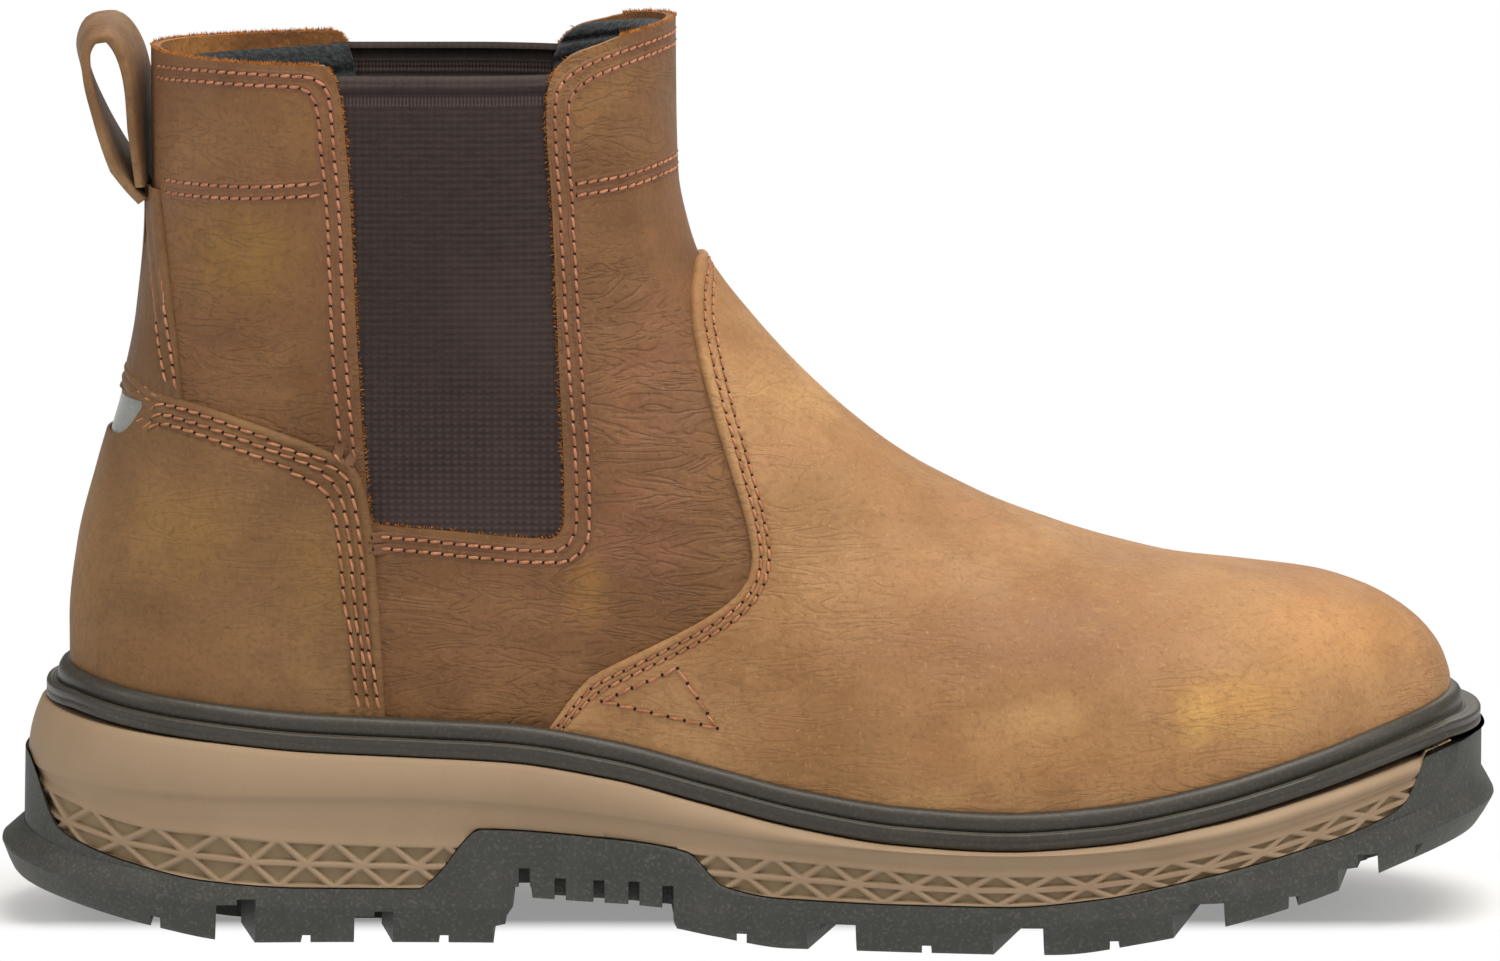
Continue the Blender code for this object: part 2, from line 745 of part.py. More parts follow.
# Pull loop: strap folded over from the backstay, its end tucked against the back seam
path = even_curve(upper_points(LOOP_PATH), LOOP_POINTS)
loop_mesh = []
for step, (x, z) in enumerate(path):
    half = LOOP_WIDTH / 2
    shift = LOOP_FLARE * math.sin(math.pi * step / (len(path) - 1))
    loop_mesh += [(x + shift * turn * 0.5, turn * half, z) for turn in (-1, 1)]
faces = [(2 * i, 2 * i + 1, 2 * i + 3, 2 * i + 2) for i in range(len(path) - 1)]
loop = new_object("pull_loop", loop_mesh, faces)
strap = loop.modifiers.new("strap", "SOLIDIFY")
strap.thickness = LOOP_THICKNESS
strap.offset = 0
strap.use_even_offset = True
painted(loop, "strap_leather", (0.36, 0.24, 0.16), 0.65)

# Welt: rubber bead against the upper with a grooved ledge outside it
foot_of_wall = outline(0.0, WELT_STEPS)
top_of_wall = outline(WELT_HEIGHT, WELT_STEPS)
welt_xs = foot_of_wall[0][:, 0]
bead = CURVED_GAP + OVERLAY_WALL + WELT_BEAD_WIDTH
edge = step_out(welt_xs, 1)
ledge = WELT_HEIGHT - WELT_BEAD_HEIGHT
bead_round = WELT_BEAD_WIDTH / 3
welt_rings = [
    ring(foot_of_wall, FACET_GAP, lambda x: seat(x) + FACET_GAP),
    ring(top_of_wall, FACET_GAP, welt_top),
    ring(top_of_wall, bead - bead_round, welt_top),
    ring(foot_of_wall, bead, lambda x: welt_top(x) - bead_round),
    ring(foot_of_wall, bead, lambda x: seat(x) + ledge),
    ring(foot_of_wall, edge, lambda x: seat(x) + ledge),
    ring(foot_of_wall, edge, lambda x: seat(x) + FACET_GAP),
]
welt = lofted("welt", welt_rings, capped=False)
painted(welt, "dark_brown_rubber", (0.055, 0.042, 0.033), 0.55)

# Midsole: foam with a swollen upper band over a band of trusses
side = outline(0.0, 2 * TRUSS_CELLS, 0.0)
count = len(side[0])
side_xs = side[0][:, 0]
truss_out = step_out(side_xs, 4)
midsole_rings = [
    ring(side, step_out(side_xs, 2), seat),
    ring(side, step_out(side_xs, 3), lambda x: side_line(1, x)),
    ring(side, truss_out + TRUSS_EDGE, lambda x: side_line(2, x) + TRUSS_EDGE),
    ring(side, truss_out, lambda x: side_line(2, x)),
    ring(side, truss_out, lambda x: (side_line(2, x) + side_line(3, x)) / 2 + TRUSS_EDGE / 2),
    ring(side, truss_out, lambda x: side_line(3, x) + TRUSS_EDGE),
    ring(side, truss_out, lambda x: side_line(3, x) - TRUSS_EDGE),
]
verts = [point for row in midsole_rings for point in row]
faces = []
for level in (0, 1, 2, 5):
    low, high = level * count, (level + 1) * count
    faces += [(low + i, high + i, high + (i + 1) % count, low + (i + 1) % count) for i in range(count)]
TOP, MIDDLE, BOTTOM = 3 * count, 4 * count, 5 * count
for first in range(0, count, 2):
    left, core, right, after = first, first + 1, (first + 2) % count, (first + 3) % count
    cell = [
        (core, (TOP + left, TOP + core, TOP + right, MIDDLE + core)),
        (core, (BOTTOM + left, BOTTOM + core, BOTTOM + right, MIDDLE + core)),
        (right, (TOP + right, MIDDLE + core, MIDDLE + right, MIDDLE + after)),
        (right, (BOTTOM + right, MIDDLE + core, MIDDLE + right, MIDDLE + after)),
    ]
    place = (side_xs[core] - SOLE_START) / SOLE_LENGTH
    plain = 0.30 < place < 0.475 or place > 0.93 or place < 0.06
    for heart, corners in cell:
        if plain:
            faces.append(corners)
            continue
        pit = np.mean([verts[v] for v in corners], axis=0)
        pit[:2] -= side[1][heart] * TRUSS_DEPTH
        verts.append(tuple(pit))
        faces += [(a, b, len(verts) - 1) for a, b in zip(corners, corners[1:] + corners[:1])]
for start in (0, 6 * count):
    faces.append((start, start + 1, start + count - 1))
    faces.append((start + count // 2 - 1, start + count // 2, start + count // 2 + 1))
    faces += [
        (start + i, start + i + 1, start + count - i - 1, start + count - i)
        for i in range(1, count // 2 - 1)
    ]
midsole = new_object("midsole", verts, faces)
close(midsole)
parting = [(SOLE_START + share * SOLE_LENGTH, height * HEEL_STACK) for share, height in PARTING]
under_parting = [(x, z + GAP) for x, z in parting]
floor_corners = [(parting[-1][0], -HEEL_LIP), (parting[0][0], -HEEL_LIP)]
cut(midsole, prism("below_parting", under_parting + floor_corners))
painted(midsole, "tan_foam", (0.36, 0.27, 0.19), 0.7)

# Outsole: rubber tread with heel clip, arch rise and toe bumper
tread = outline(0.0, TREAD_STEPS)
tread_xs = tread[0][:, 0]
outsole = lofted("outsole", [
    ring(tread, step_out(tread_xs, 5), seat),
    ring(tread, step_out(tread_xs, 5), lambda x: side_line(3, x)),
    ring(tread, step_out(tread_xs, 6), lambda x: side_line(4, x)),
    ring(tread, step_out(tread_xs, 7), lambda x: side_line(5, x)),
])
sky_corners = [(parting[-1][0], COLLAR_HEIGHT), (parting[0][0], COLLAR_HEIGHT)]
cut(outsole, prism("above_parting", parting + sky_corners))
notches, treads = [], []
for place, width, step in GROOVES:
    x = SOLE_START + place * SOLE_LENGTH
    ground = float(side_line(5, x))
    half = width * GROOVE_WIDTH / 2
    lean = (REACH / 2 - CHANNEL_PLACE) * math.tan(GROOVE_TURN)
    for turn in (-1, 1):
        near, far = turn * CHANNEL_PLACE, turn * REACH / 2
        notches.append([
            [(x - half, near), (x + half, near), (x + half - lean, far), (x - half - lean, far)],
            (-HEEL_LIP, ground + LUG_DEPTH),
        ])
        rear = x - half - step * GROOVE_WIDTH
        treads.append([
            [(rear, near), (x, near), (x - lean, far), (rear - lean, far)],
            (-HEEL_LIP, ground + LUG_STEP),
        ])
cut(outsole, blocks("grooves", notches))
cut(outsole, blocks("groove_steps", treads))
for start, end in CHANNELS:
    xs = SOLE_START + np.linspace(start, end, 4) * SOLE_LENGTH
    shape = list(zip(xs, side_line(5, xs) + LUG_DEPTH)) + [(xs[-1], -HEEL_LIP), (xs[0], -HEEL_LIP)]
    for turn in (-1, 1):
        near, far = sorted(turn * (CHANNEL_PLACE + CHANNEL_WIDTH * half) for half in (-0.5, 0.5))
        cut(outsole, prism(f"channel_{start:.3f}_{turn}", shape, near, far))
arch_xs = SOLE_START + np.array([ARCH_START, ARCH_END]) * SOLE_LENGTH
arch = [(arch_xs[0], ARCH_RISE), (arch_xs[1], ARCH_RISE), (arch_xs[1], -HEEL_LIP), (arch_xs[0], -HEEL_LIP)]
cut(outsole, prism("arch", arch))
notches = []
for step in range(ARCH_NOTCHES):
    x = arch_xs[0] + (arch_xs[1] - arch_xs[0]) * (step + 0.5) / ARCH_NOTCHES
    half = ARCH_NOTCH_WIDTH / 2
    share = (x - HEEL_X) / UPPER_LENGTH
    reach = float(plan_half(np.array([x]))[0]) + SIDE_STEP * (SIDE_STEPS[3][5] + SIDE_STEPS[3][6]) / 2
    for turn in (-1, 1):
        near = float(plan_middle(x)) + turn * (reach - ARCH_NOTCH_DEPTH)
        far = near + turn * SIDE_STEP
        notches.append([
            [(x - half, near), (x + half, near), (x + half, far), (x - half, far)],
            (0.0, ARCH_RISE + ARCH_NOTCH_HEIGHT),
        ])
cut(outsole, blocks("arch_notches", notches))
painted(outsole, "black_rubber", (0.05, 0.05, 0.047), 0.75)
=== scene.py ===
"""Looks of the right side gore work boot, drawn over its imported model."""
import math
import random

import bmesh
import bpy
import numpy as np
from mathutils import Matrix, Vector
from mathutils.bvhtree import BVHTree


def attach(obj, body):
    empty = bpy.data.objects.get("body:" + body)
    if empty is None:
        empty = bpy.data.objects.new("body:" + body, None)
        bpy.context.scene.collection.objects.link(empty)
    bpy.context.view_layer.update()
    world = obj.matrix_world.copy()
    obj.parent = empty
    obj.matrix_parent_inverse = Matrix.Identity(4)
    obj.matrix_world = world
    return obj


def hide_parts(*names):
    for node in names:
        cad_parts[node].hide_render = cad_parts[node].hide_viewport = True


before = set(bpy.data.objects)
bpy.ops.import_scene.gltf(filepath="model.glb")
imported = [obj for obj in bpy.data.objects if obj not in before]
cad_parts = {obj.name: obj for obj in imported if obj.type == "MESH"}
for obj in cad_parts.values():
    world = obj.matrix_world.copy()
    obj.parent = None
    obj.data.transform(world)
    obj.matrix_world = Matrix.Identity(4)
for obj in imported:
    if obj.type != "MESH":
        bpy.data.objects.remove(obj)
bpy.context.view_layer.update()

# Leather upper
# The hull of the boot: one skin of oiled brown leather, 2 mm thick, pulled over a last and tucked
# into the welt. It is cut out on each side for a gore, and its cut edges are left raw.
MM = 0.001
LAST_LENGTH = 285.9 * MM
COLLAR_HEIGHT = 188.0 * MM
COLLAR_SAG = 3 * MM
HEEL_STACK = 53.5 * MM
BALL_WIDTH = 95.5 * MM
COLLAR_WIDTH = 77.0 * MM
SOLE_LENGTH = 313.4 * MM
SOLE_START = -SOLE_LENGTH / 2
HEEL_X = SOLE_START + 16.4 * MM
TIP_X = HEEL_X + LAST_LENGTH
TOE_ROUND = 58 * MM
TOE_BOX_ROUND = 33 * MM
VAMP_ROUND = 50 * MM
SHAFT_FRONT_ROUND = 44 * MM
SHAFT_BACK_ROUND = 42 * MM
HEEL_ROUND = 36 * MM
ROUND_POWER = 2.3
SHAFT_POWER = 2.0
SIDE_BULGE = 1.5 * MM
WELT_HEIGHT = 7.7 * MM
HULL_WALL = 2.0 * MM
ANKLE_LOW = 0.32 * COLLAR_HEIGHT
ANKLE_HIGH = 0.70 * COLLAR_HEIGHT
TOE_BOX_START = HEEL_X + 0.62 * LAST_LENGTH
TOE_BOX_FULL = HEEL_X + 0.80 * LAST_LENGTH
PLAN = (
    # place, middle, half
    (0.00, 0.000, 0.348), (0.13, 0.000, 0.350), (0.28, -0.012, 0.348), (0.40, -0.030, 0.355),
    (0.52, -0.036, 0.398), (0.62, -0.030, 0.455), (0.71, -0.014, 0.497), (0.80, 0.008, 0.503),
    (0.88, 0.034, 0.475), (1.00, 0.075, 0.430),
)
FRONT = (
    # place, height
    (1.0000, 0.190), (1.0000, 0.250), (0.9950, 0.279), (0.9830, 0.306), (0.9640, 0.330),
    (0.9390, 0.350), (0.9050, 0.366), (0.8530, 0.3765), (0.8010, 0.3860), (0.7400, 0.4105),
    (0.6660, 0.4520), (0.5930, 0.5110), (0.5360, 0.5830), (0.4850, 0.6660), (0.4585, 0.7210),
    (0.4465, 0.7700), (0.4395, 0.8250), (0.4380, 0.9000), (0.4375, 1.0000),
)
BACK = (
    # place, height
    (0.0000, 0.228), (0.0000, 0.330), (0.0061, 0.414), (0.0212, 0.504), (0.0380, 0.592),
    (0.0490, 0.675), (0.0555, 0.790), (0.0560, 0.968),
)
FAN = (
    # row, front, seat
    (0, 0.000, 0.000), (1, 0.018, 0.002), (2, 0.040, 0.010), (3, 0.066, 0.026),
    (4, 0.094, 0.052), (5, 0.124, 0.085), (6, 0.158, 0.125), (7, 0.200, 0.176),
    (8, 0.248, 0.233), (9, 0.302, 0.298), (10, 0.362, 0.370), (11, 0.422, 0.445),
    (12, 0.482, 0.524), (13, 0.542, 0.606), (14, 0.600, 0.688), (15, 0.652, 0.765),
    (16, 0.695, 0.828), (17, 0.728, 0.878), (18, 0.754, 0.920), (19, 0.775, 0.953),
    (20, 0.792, 0.978), (21, 0.806, 0.993), (22, 0.818, 1.000),
)
WELT_TOP = (
    # place, height
    (0.00, 1.000), (0.045, 0.958), (0.10, 0.920), (0.17, 0.880), (0.25, 0.860), (0.32, 0.842),
    (0.39, 0.785), (0.46, 0.694), (0.53, 0.606), (0.60, 0.553), (0.67, 0.537), (0.745, 0.562),
    (0.82, 0.636), (0.89, 0.726), (0.96, 0.825), (1.00, 0.872),
)
# Side view outline of the gore's notch, in millimetres
NOTCH = (
    (-93.5, 206.0), (-93.5, 187.0), (-90.8, 183.8), (-88.4, 182.4), (-86.2, 180.6), (-84.7, 178.4),
    (-83.6, 174.8), (-82.7, 167.0), (-81.7, 153.7), (-80.4, 122.8), (-78.3, 90.0), (-77.6, 86.6),
    (-75.5, 86.0), (-61.5, 84.8), (-45.0, 83.4), (-41.0, 83.3), (-38.9, 84.6), (-38.0, 87.5),
    (-38.0, 91.7), (-39.2, 122.8), (-40.5, 153.7), (-41.5, 170.0), (-41.3, 175.4),
    (-40.0, 179.2), (-36.2, 182.9), (-29.0, 185.3), (-24.0, 187.5), (-24.0, 206.0),
)
# Creases worn into the leather: depth and width, then their course in side view, in millimetres
CREASES = (
    (0.30, 2.2, ((-112, 131), (-103, 129.5), (-95, 130.5))),
    (0.35, 2.4, ((-113, 124), (-104, 122), (-93, 123.5))),
    (0.30, 2.0, ((-108, 117), (-99, 115), (-90, 116.5))),
    (0.34, 2.3, ((-110, 110.5), (-101, 109), (-91, 108))),
    (0.28, 2.0, ((-98, 137), (-91, 136), (-87, 137.5))),
    (0.30, 2.2, ((-101, 103.5), (-94, 102.5), (-87, 101))),
    (0.40, 2.8, ((-33, 148), (-26, 145.5), (-18, 146))),
    (0.42, 2.8, ((-33, 140), (-27, 137), (-19, 136))),
    (0.45, 3.0, ((-33, 131), (-26, 128), (-18, 128.5))),
    (0.40, 2.8, ((-32, 121), (-24, 119), (-15, 121))),
    (0.38, 3.0, ((-31, 111), (-23, 108), (-13, 110))),
    (0.36, 3.2, ((-30, 99), (-21, 95), (-10, 97))),
    (0.40, 3.4, ((-30, 88), (-20, 83), (-8, 84))),
    (0.36, 3.6, ((-52, 74), (-40, 70), (-24, 71))),
    (0.34, 3.6, ((-60, 64), (-46, 60), (-32, 61))),
    (0.30, 3.4, ((-70, 76), (-62, 72), (-54, 72))),
)


def smooth(table, index, at):
    """Smooth curve through one column of a table, read at the given places."""
    xs = np.array([row[0] for row in table], float)
    ys = np.array([row[index] for row in table], float)
    at = np.clip(np.asarray(at, float), xs[0], xs[-1])
    rises = np.diff(ys) / np.diff(xs)
    product = rises[:-1] * rises[1:]
    total = np.where(product > 0, rises[:-1] + rises[1:], 1.0)
    tangents = np.concatenate([[rises[0]], np.where(product > 0, 2 * product / total, 0), [rises[-1]]])
    i = np.clip(np.searchsorted(xs, at, side="right") - 1, 0, len(xs) - 2)
    step = xs[i + 1] - xs[i]
    t = (at - xs[i]) / step
    rise = t * t * (3 - 2 * t)
    lean = tangents[i] * t * (1 - t) ** 2 - tangents[i + 1] * t * t * (1 - t)
    return ys[i] * (1 - rise) + ys[i + 1] * rise + step * lean


def ease(value):
    value = np.clip(value, 0.0, 1.0)
    return value * value * (3 - 2 * value)


def turn_in(depth, power=ROUND_POWER):
    """Share of the full width at a depth below the ridge."""
    inside = 1 - np.clip(depth, 0.0, 1.0)
    return (1 - inside**power) ** (1 / power)


def even_curve(points, count=400):
    """Evenly spaced points on a smooth curve through a few points."""
    points = np.array(points, float)
    chord = np.concatenate([[0], np.cumsum(np.linalg.norm(np.diff(points, axis=0), axis=1))])
    table = np.column_stack([chord, points])
    fine = np.linspace(0, chord[-1], 4 * count)
    dense = np.stack([smooth(table, k + 1, fine) for k in range(points.shape[1])], axis=1)
    run = np.concatenate([[0], np.cumsum(np.linalg.norm(np.diff(dense, axis=0), axis=1))])
    even = np.linspace(0, run[-1], count)
    return np.stack([np.interp(even, run, dense[:, k]) for k in range(points.shape[1])], axis=1)


def along(curve, share):
    at = np.clip(share, 0, 1) * (len(curve) - 1)
    return np.stack([np.interp(at, np.arange(len(curve)), curve[:, k]) for k in (0, 1)], axis=-1)


def welt_top(x):
    return HEEL_STACK * smooth(WELT_TOP, 1, (x - HEEL_X) / LAST_LENGTH)


def seat(x):
    """Height of the surface that the upper, the welt and the insole stand on."""
    return welt_top(x) - WELT_HEIGHT


def plan_middle(x):
    return BALL_WIDTH * smooth(PLAN, 1, (x - HEEL_X) / LAST_LENGTH)


def plan_half(x):
    half = BALL_WIDTH * smooth(PLAN, 2, (x - HEEL_X) / LAST_LENGTH)
    return half * turn_in((TIP_X - x) / TOE_ROUND)


def on_last(table):
    return [(HEEL_X + place * LAST_LENGTH, height * COLLAR_HEIGHT) for place, height in table]


FRONT_CURVE = even_curve(on_last(FRONT))
BACK_CURVE = even_curve(on_last(BACK))
SEAT_XS = np.linspace(TIP_X, HEEL_X, 400)
SEAT_CURVE = np.stack([SEAT_XS, seat(SEAT_XS) + 0.3 * MM], axis=1)


def ridge_depth(x, z):
    """Distance of side view points from the front ridge, at flat arrays of points."""
    depths = []
    for xs, zs in zip(np.array_split(x, 24), np.array_split(z, 24)):
        points = np.stack([xs, zs], axis=1)
        gaps = np.hypot(xs[:, None] - FRONT_CURVE[:, 0], zs[:, None] - FRONT_CURVE[:, 1])
        near = np.argmin(gaps, axis=1) if len(xs) else np.zeros(0, int)
        depth = gaps.min(axis=1) if len(xs) else np.zeros(0)
        for step in (-1, 1):
            start = FRONT_CURVE[near]
            way = FRONT_CURVE[np.clip(near + step, 0, len(FRONT_CURVE) - 1)] - start
            share = np.sum((points - start) * way, axis=1) / np.maximum(np.sum(way * way, axis=1), 1e-18)
            foot = start + way * np.clip(share, 0, 1)[:, None]
            depth = np.minimum(depth, np.linalg.norm(points - foot, axis=1))
        depths.append(depth)
    return np.concatenate(depths)


def half_width(x, z):
    """Half width of the leather's outside at flat arrays of side view points."""
    to_shaft = ease((z - ANKLE_LOW) / (ANKLE_HIGH - ANKLE_LOW))
    flare = 0.93 + 0.07 * ease((z - ANKLE_LOW) / (COLLAR_HEIGHT - ANKLE_LOW))
    bulge = SIDE_BULGE * np.sin(math.pi * np.clip((z - seat(x)) / HEEL_STACK, 0, 1))
    foot = plan_half(x) + bulge * turn_in((TIP_X - x) / TOE_ROUND)
    base = foot * (1 - to_shaft) + flare * COLLAR_WIDTH / 2 * to_shaft
    nearest = ridge_depth(x, z)
    roundness = VAMP_ROUND + (SHAFT_FRONT_ROUND - VAMP_ROUND) * to_shaft
    top = np.interp(-x, -FRONT_CURVE[:, 0], FRONT_CURVE[:, 1])
    box_round = np.minimum(TOE_BOX_ROUND, np.maximum(top - seat(x), 0.3 * MM))
    to_box = ease((x - TOE_BOX_START) / (TOE_BOX_FULL - TOE_BOX_START))
    depth = nearest / roundness * (1 - to_box) + (top - z) / box_round * to_box
    back = np.interp(z, BACK_CURVE[:, 1], BACK_CURVE[:, 0])
    back_round = HEEL_ROUND + (SHAFT_BACK_ROUND - HEEL_ROUND) * to_shaft
    power = ROUND_POWER + (SHAFT_POWER - ROUND_POWER) * to_shaft
    return base * turn_in(depth, power) * turn_in((x - back) / back_round, power)


def middle(x, z):
    return plan_middle(x) * (1 - ease((z - ANKLE_LOW) / (ANKLE_HIGH - ANKLE_LOW)))


def laid_out(points, closed_from=None):
    """Grid of side view rows, ridge first, laid over the last from the lateral edge across
    the ridge to the medial edge. Rows from closed_from on also meet at the back."""
    x, z = points[..., 0], points[..., 1]
    half = half_width(x.ravel(), z.ravel()).reshape(x.shape)
    mid = middle(x.ravel(), z.ravel()).reshape(x.shape)
    half[:, 0] = 0.0
    if closed_from is not None:
        half[closed_from:, -1] = 0.0
    lateral = np.stack([x, mid - half, z], axis=-1)[:, ::-1]
    medial = np.stack([x, mid + half, z], axis=-1)[:, 1:]
    return np.concatenate([lateral, medial], axis=1)


def crease_depth(points, creases):
    """Depth of worn creases at points of the surface."""
    depth = np.zeros(points.shape[:-1])
    x, z = points[..., 0] / MM, points[..., 2] / MM
    for deep, wide, course in creases:
        line = even_curve(course, 24)
        near = np.full(depth.shape, 1e9)
        share = np.zeros(depth.shape)
        for k, (cx, cz) in enumerate(line):
            far = np.hypot(x - cx, z - cz)
            share = np.where(far < near, k / (len(line) - 1), share)
            near = np.minimum(near, far)
        fade = np.sin(math.pi * np.clip(share, 0.04, 0.96)) ** 0.6
        trough, ridges = np.exp(-(near / wide) ** 2), np.exp(-((near - 2 * wide) / wide) ** 2)
        depth += deep * fade * (trough - 0.45 * ridges)
    return depth * MM


def grid_normals(grid):
    """Outward unit normals of a laid out grid."""
    normal = np.cross(np.gradient(grid, axis=1), np.gradient(grid, axis=0))
    length = np.linalg.norm(normal, axis=-1, keepdims=True)
    normal = normal / np.maximum(length, 1e-15)
    normal[0] = np.where(length[0] < 1e-12, normal[1], normal[0])
    normal[-1] = np.where(length[-1] < 1e-12, normal[-2], normal[-1])
    return normal * facing(grid)


def facing(grid):
    """1 where the quads of a grid face outward as they are laid, -1 where they face inward."""
    normal = np.cross(np.gradient(grid, axis=1), np.gradient(grid, axis=0))
    return math.copysign(1.0, float(np.sum(normal * (grid - grid.mean(axis=1, keepdims=True)))))


def sheet_faces(rows, columns, turned=False):
    quads = [
        (r * columns + c, r * columns + c + 1, (r + 1) * columns + c + 1, (r + 1) * columns + c)
        for r in range(rows - 1) for c in range(columns - 1)
    ]
    return [quad[::-1] for quad in quads] if turned else quads


def mesh_piece(name, verts, faces, materials, smooth_angle=40, outward=True):
    """Mesh object with doubled corners merged and soft shading."""
    mesh = bpy.data.meshes.new(name)
    mesh.from_pydata([tuple(map(float, v)) for v in verts], [], faces)
    shape = bmesh.new()
    shape.from_mesh(mesh)
    bmesh.ops.remove_doubles(shape, verts=shape.verts, dist=2e-6)
    bmesh.ops.dissolve_degenerate(shape, edges=shape.edges, dist=1e-6)
    if outward:
        bmesh.ops.recalc_face_normals(shape, faces=shape.faces)
    shape.to_mesh(mesh)
    shape.free()
    obj = bpy.data.objects.new(name, mesh)
    bpy.context.scene.collection.objects.link(obj)
    for material in materials:
        mesh.materials.append(material)
    shade(obj, smooth_angle)
    return obj


def sheet(name, grid, materials, smooth_angle=40):
    """Open sheet through a grid, its faces turned outward."""
    faces = sheet_faces(*grid.shape[:2], turned=facing(grid) < 0)
    return mesh_piece(name, grid.reshape(-1, 3), faces, materials, smooth_angle, outward=False)


def shade(obj, smooth_angle):
    obj.data.polygons.foreach_set("use_smooth", [True] * len(obj.data.polygons))
    obj.data.set_sharp_from_angle(angle=math.radians(smooth_angle))


def settle(obj, smooth_angle=40):
    """Fixes the modifiers of an object into its mesh."""
    bpy.context.view_layer.update()
    depsgraph = bpy.context.evaluated_depsgraph_get()
    mesh = bpy.data.meshes.new_from_object(obj.evaluated_get(depsgraph))
    obj.modifiers.clear()
    mesh.validate()
    obj.data = mesh
    shade(obj, smooth_angle)


def thicken(obj, wall, rim=0, inner=0):
    step = obj.modifiers.new("wall", "SOLIDIFY")
    step.thickness = wall
    step.offset = -1
    step.material_offset_rim = rim
    step.material_offset = inner


def prism(name, outline, reach, materials):
    """Body with a side view outline that reaches equally far to both sides."""
    n = len(outline)
    verts = [(x, y, z) for y in (-reach, reach) for x, z in outline]
    faces = [tuple(range(n)), tuple(range(2 * n - 1, n - 1, -1))]
    faces += [(i, i + n, (i + 1) % n + n, (i + 1) % n) for i in range(n)]
    return mesh_piece(name, verts, faces, materials)


def cut_through(obj, outline, materials):
    """Cuts a side view outline right through an object."""
    cutter = prism(obj.name + "_cutter", outline, 0.2, materials)
    for face in cutter.data.polygons:
        face.material_index = len(materials) - 1
    step = obj.modifiers.new("cut", "BOOLEAN")
    step.object, step.operation, step.solver = cutter, "DIFFERENCE", "MANIFOLD"
    settle(obj)
    bpy.data.objects.remove(cutter, do_unlink=True)


class Tree:
    """Short way to wire a material's nodes."""

    def __init__(self, name):
        self.material = bpy.data.materials.new(name)
        self.material.use_nodes = True
        self.nodes = self.material.node_tree.nodes
        self.links = self.material.node_tree.links
        self.shader = self.nodes["Principled BSDF"]
        self.place = self.nodes.new("ShaderNodeTexCoord").outputs["Object"]

    def feed(self, socket, value):
        if isinstance(value, bpy.types.NodeSocket):
            self.links.new(value, socket)
        elif isinstance(value, tuple) and len(value) == 3 and socket.type == "RGBA":
            socket.default_value = (*value, 1)
        else:
            socket.default_value = value

    def node(self, kind, inputs, **settings):
        new = self.nodes.new(kind)
        for key, value in settings.items():
            setattr(new, key, value)
        for key, value in inputs.items():
            self.feed(new.inputs[key], value)
        return new

    def moved(self, scale=(1, 1, 1), turn=(0, 0, 0)):
        inputs = {"Vector": self.place, "Scale": scale, "Rotation": turn}
        return self.node("ShaderNodeMapping", inputs).outputs[0]

    def axis(self, name):
        return self.node("ShaderNodeSeparateXYZ", {0: self.place}).outputs[name]

    def cells(self, scale, more={}, **settings):
        inputs = {"Vector": self.place, "Scale": scale, **more}
        return self.node("ShaderNodeTexVoronoi", inputs, **settings).outputs["Distance"]

    def waves(self, scale, at, axis="X", **inputs):
        inputs = {"Vector": at, "Scale": scale, **inputs}
        return self.node("ShaderNodeTexWave", inputs, wave_type="BANDS", bands_direction=axis).outputs["Fac"]

    def noise(self, scale, detail=3.0, rough=0.5, at=None, warp=0.0):
        return self.node("ShaderNodeTexNoise", {
            "Vector": at or self.place, "Scale": scale, "Detail": detail, "Roughness": rough,
            "Distortion": warp}).outputs["Fac"]

    def span(self, value, low, high, to_low=0.0, to_high=1.0):
        return self.node("ShaderNodeMapRange", {
            "Value": value, "From Min": low, "From Max": high, "To Min": to_low, "To Max": to_high},
            interpolation_type="SMOOTHSTEP").outputs[0]

    def math(self, operation, a, b=0.0):
        return self.node("ShaderNodeMath", {0: a, 1: b}, operation=operation).outputs[0]

    def mix(self, share, a, b, blend="MIX"):
        new = self.nodes.new("ShaderNodeMix")
        new.data_type, new.blend_type = "RGBA", blend
        self.feed(new.inputs[0], share)
        self.feed(new.inputs[6], a)
        self.feed(new.inputs[7], b)
        return new.outputs[2]

    def spot(self, centre, sizes):
        """1 in the middle of a soft patch of the given half sizes, 0 outside it."""
        return self.span(self.far(centre, sizes), 0.15, 1.0, 1.0, 0.0)

    def far(self, centre, sizes):
        """Distance from a centre, in half sizes."""
        inputs = {0: self.place, 1: centre}
        offset = self.node("ShaderNodeVectorMath", inputs, operation="SUBTRACT").outputs[0]
        inputs = {0: offset, 1: tuple(1 / size for size in sizes)}
        scaled = self.node("ShaderNodeVectorMath", inputs, operation="MULTIPLY").outputs[0]
        return self.node("ShaderNodeVectorMath", {0: scaled}, operation="LENGTH").outputs["Value"]

    def bump(self, height, distance, strength=1.0, before=None):
        inputs = {"Height": height, "Distance": distance, "Strength": strength}
        if before:
            inputs["Normal"] = before
        return self.node("ShaderNodeBump", inputs).outputs[0]

    def done(self, colour, roughness, normal=None, **others):
        self.feed(self.shader.inputs["Base Color"], colour)
        self.feed(self.shader.inputs["Roughness"], roughness)
        if normal:
            self.feed(self.shader.inputs["Normal"], normal)
        for key, value in others.items():
            self.feed(self.shader.inputs[key.replace("_", " ")], value)
        return self.material


def srgb(r, g, b):
    """Linear colour from the values that a picture shows."""
    return tuple(((c / 255 + 0.055) / 1.055) ** 2.4 if c > 10 else c / 3294.6 for c in (r, g, b))


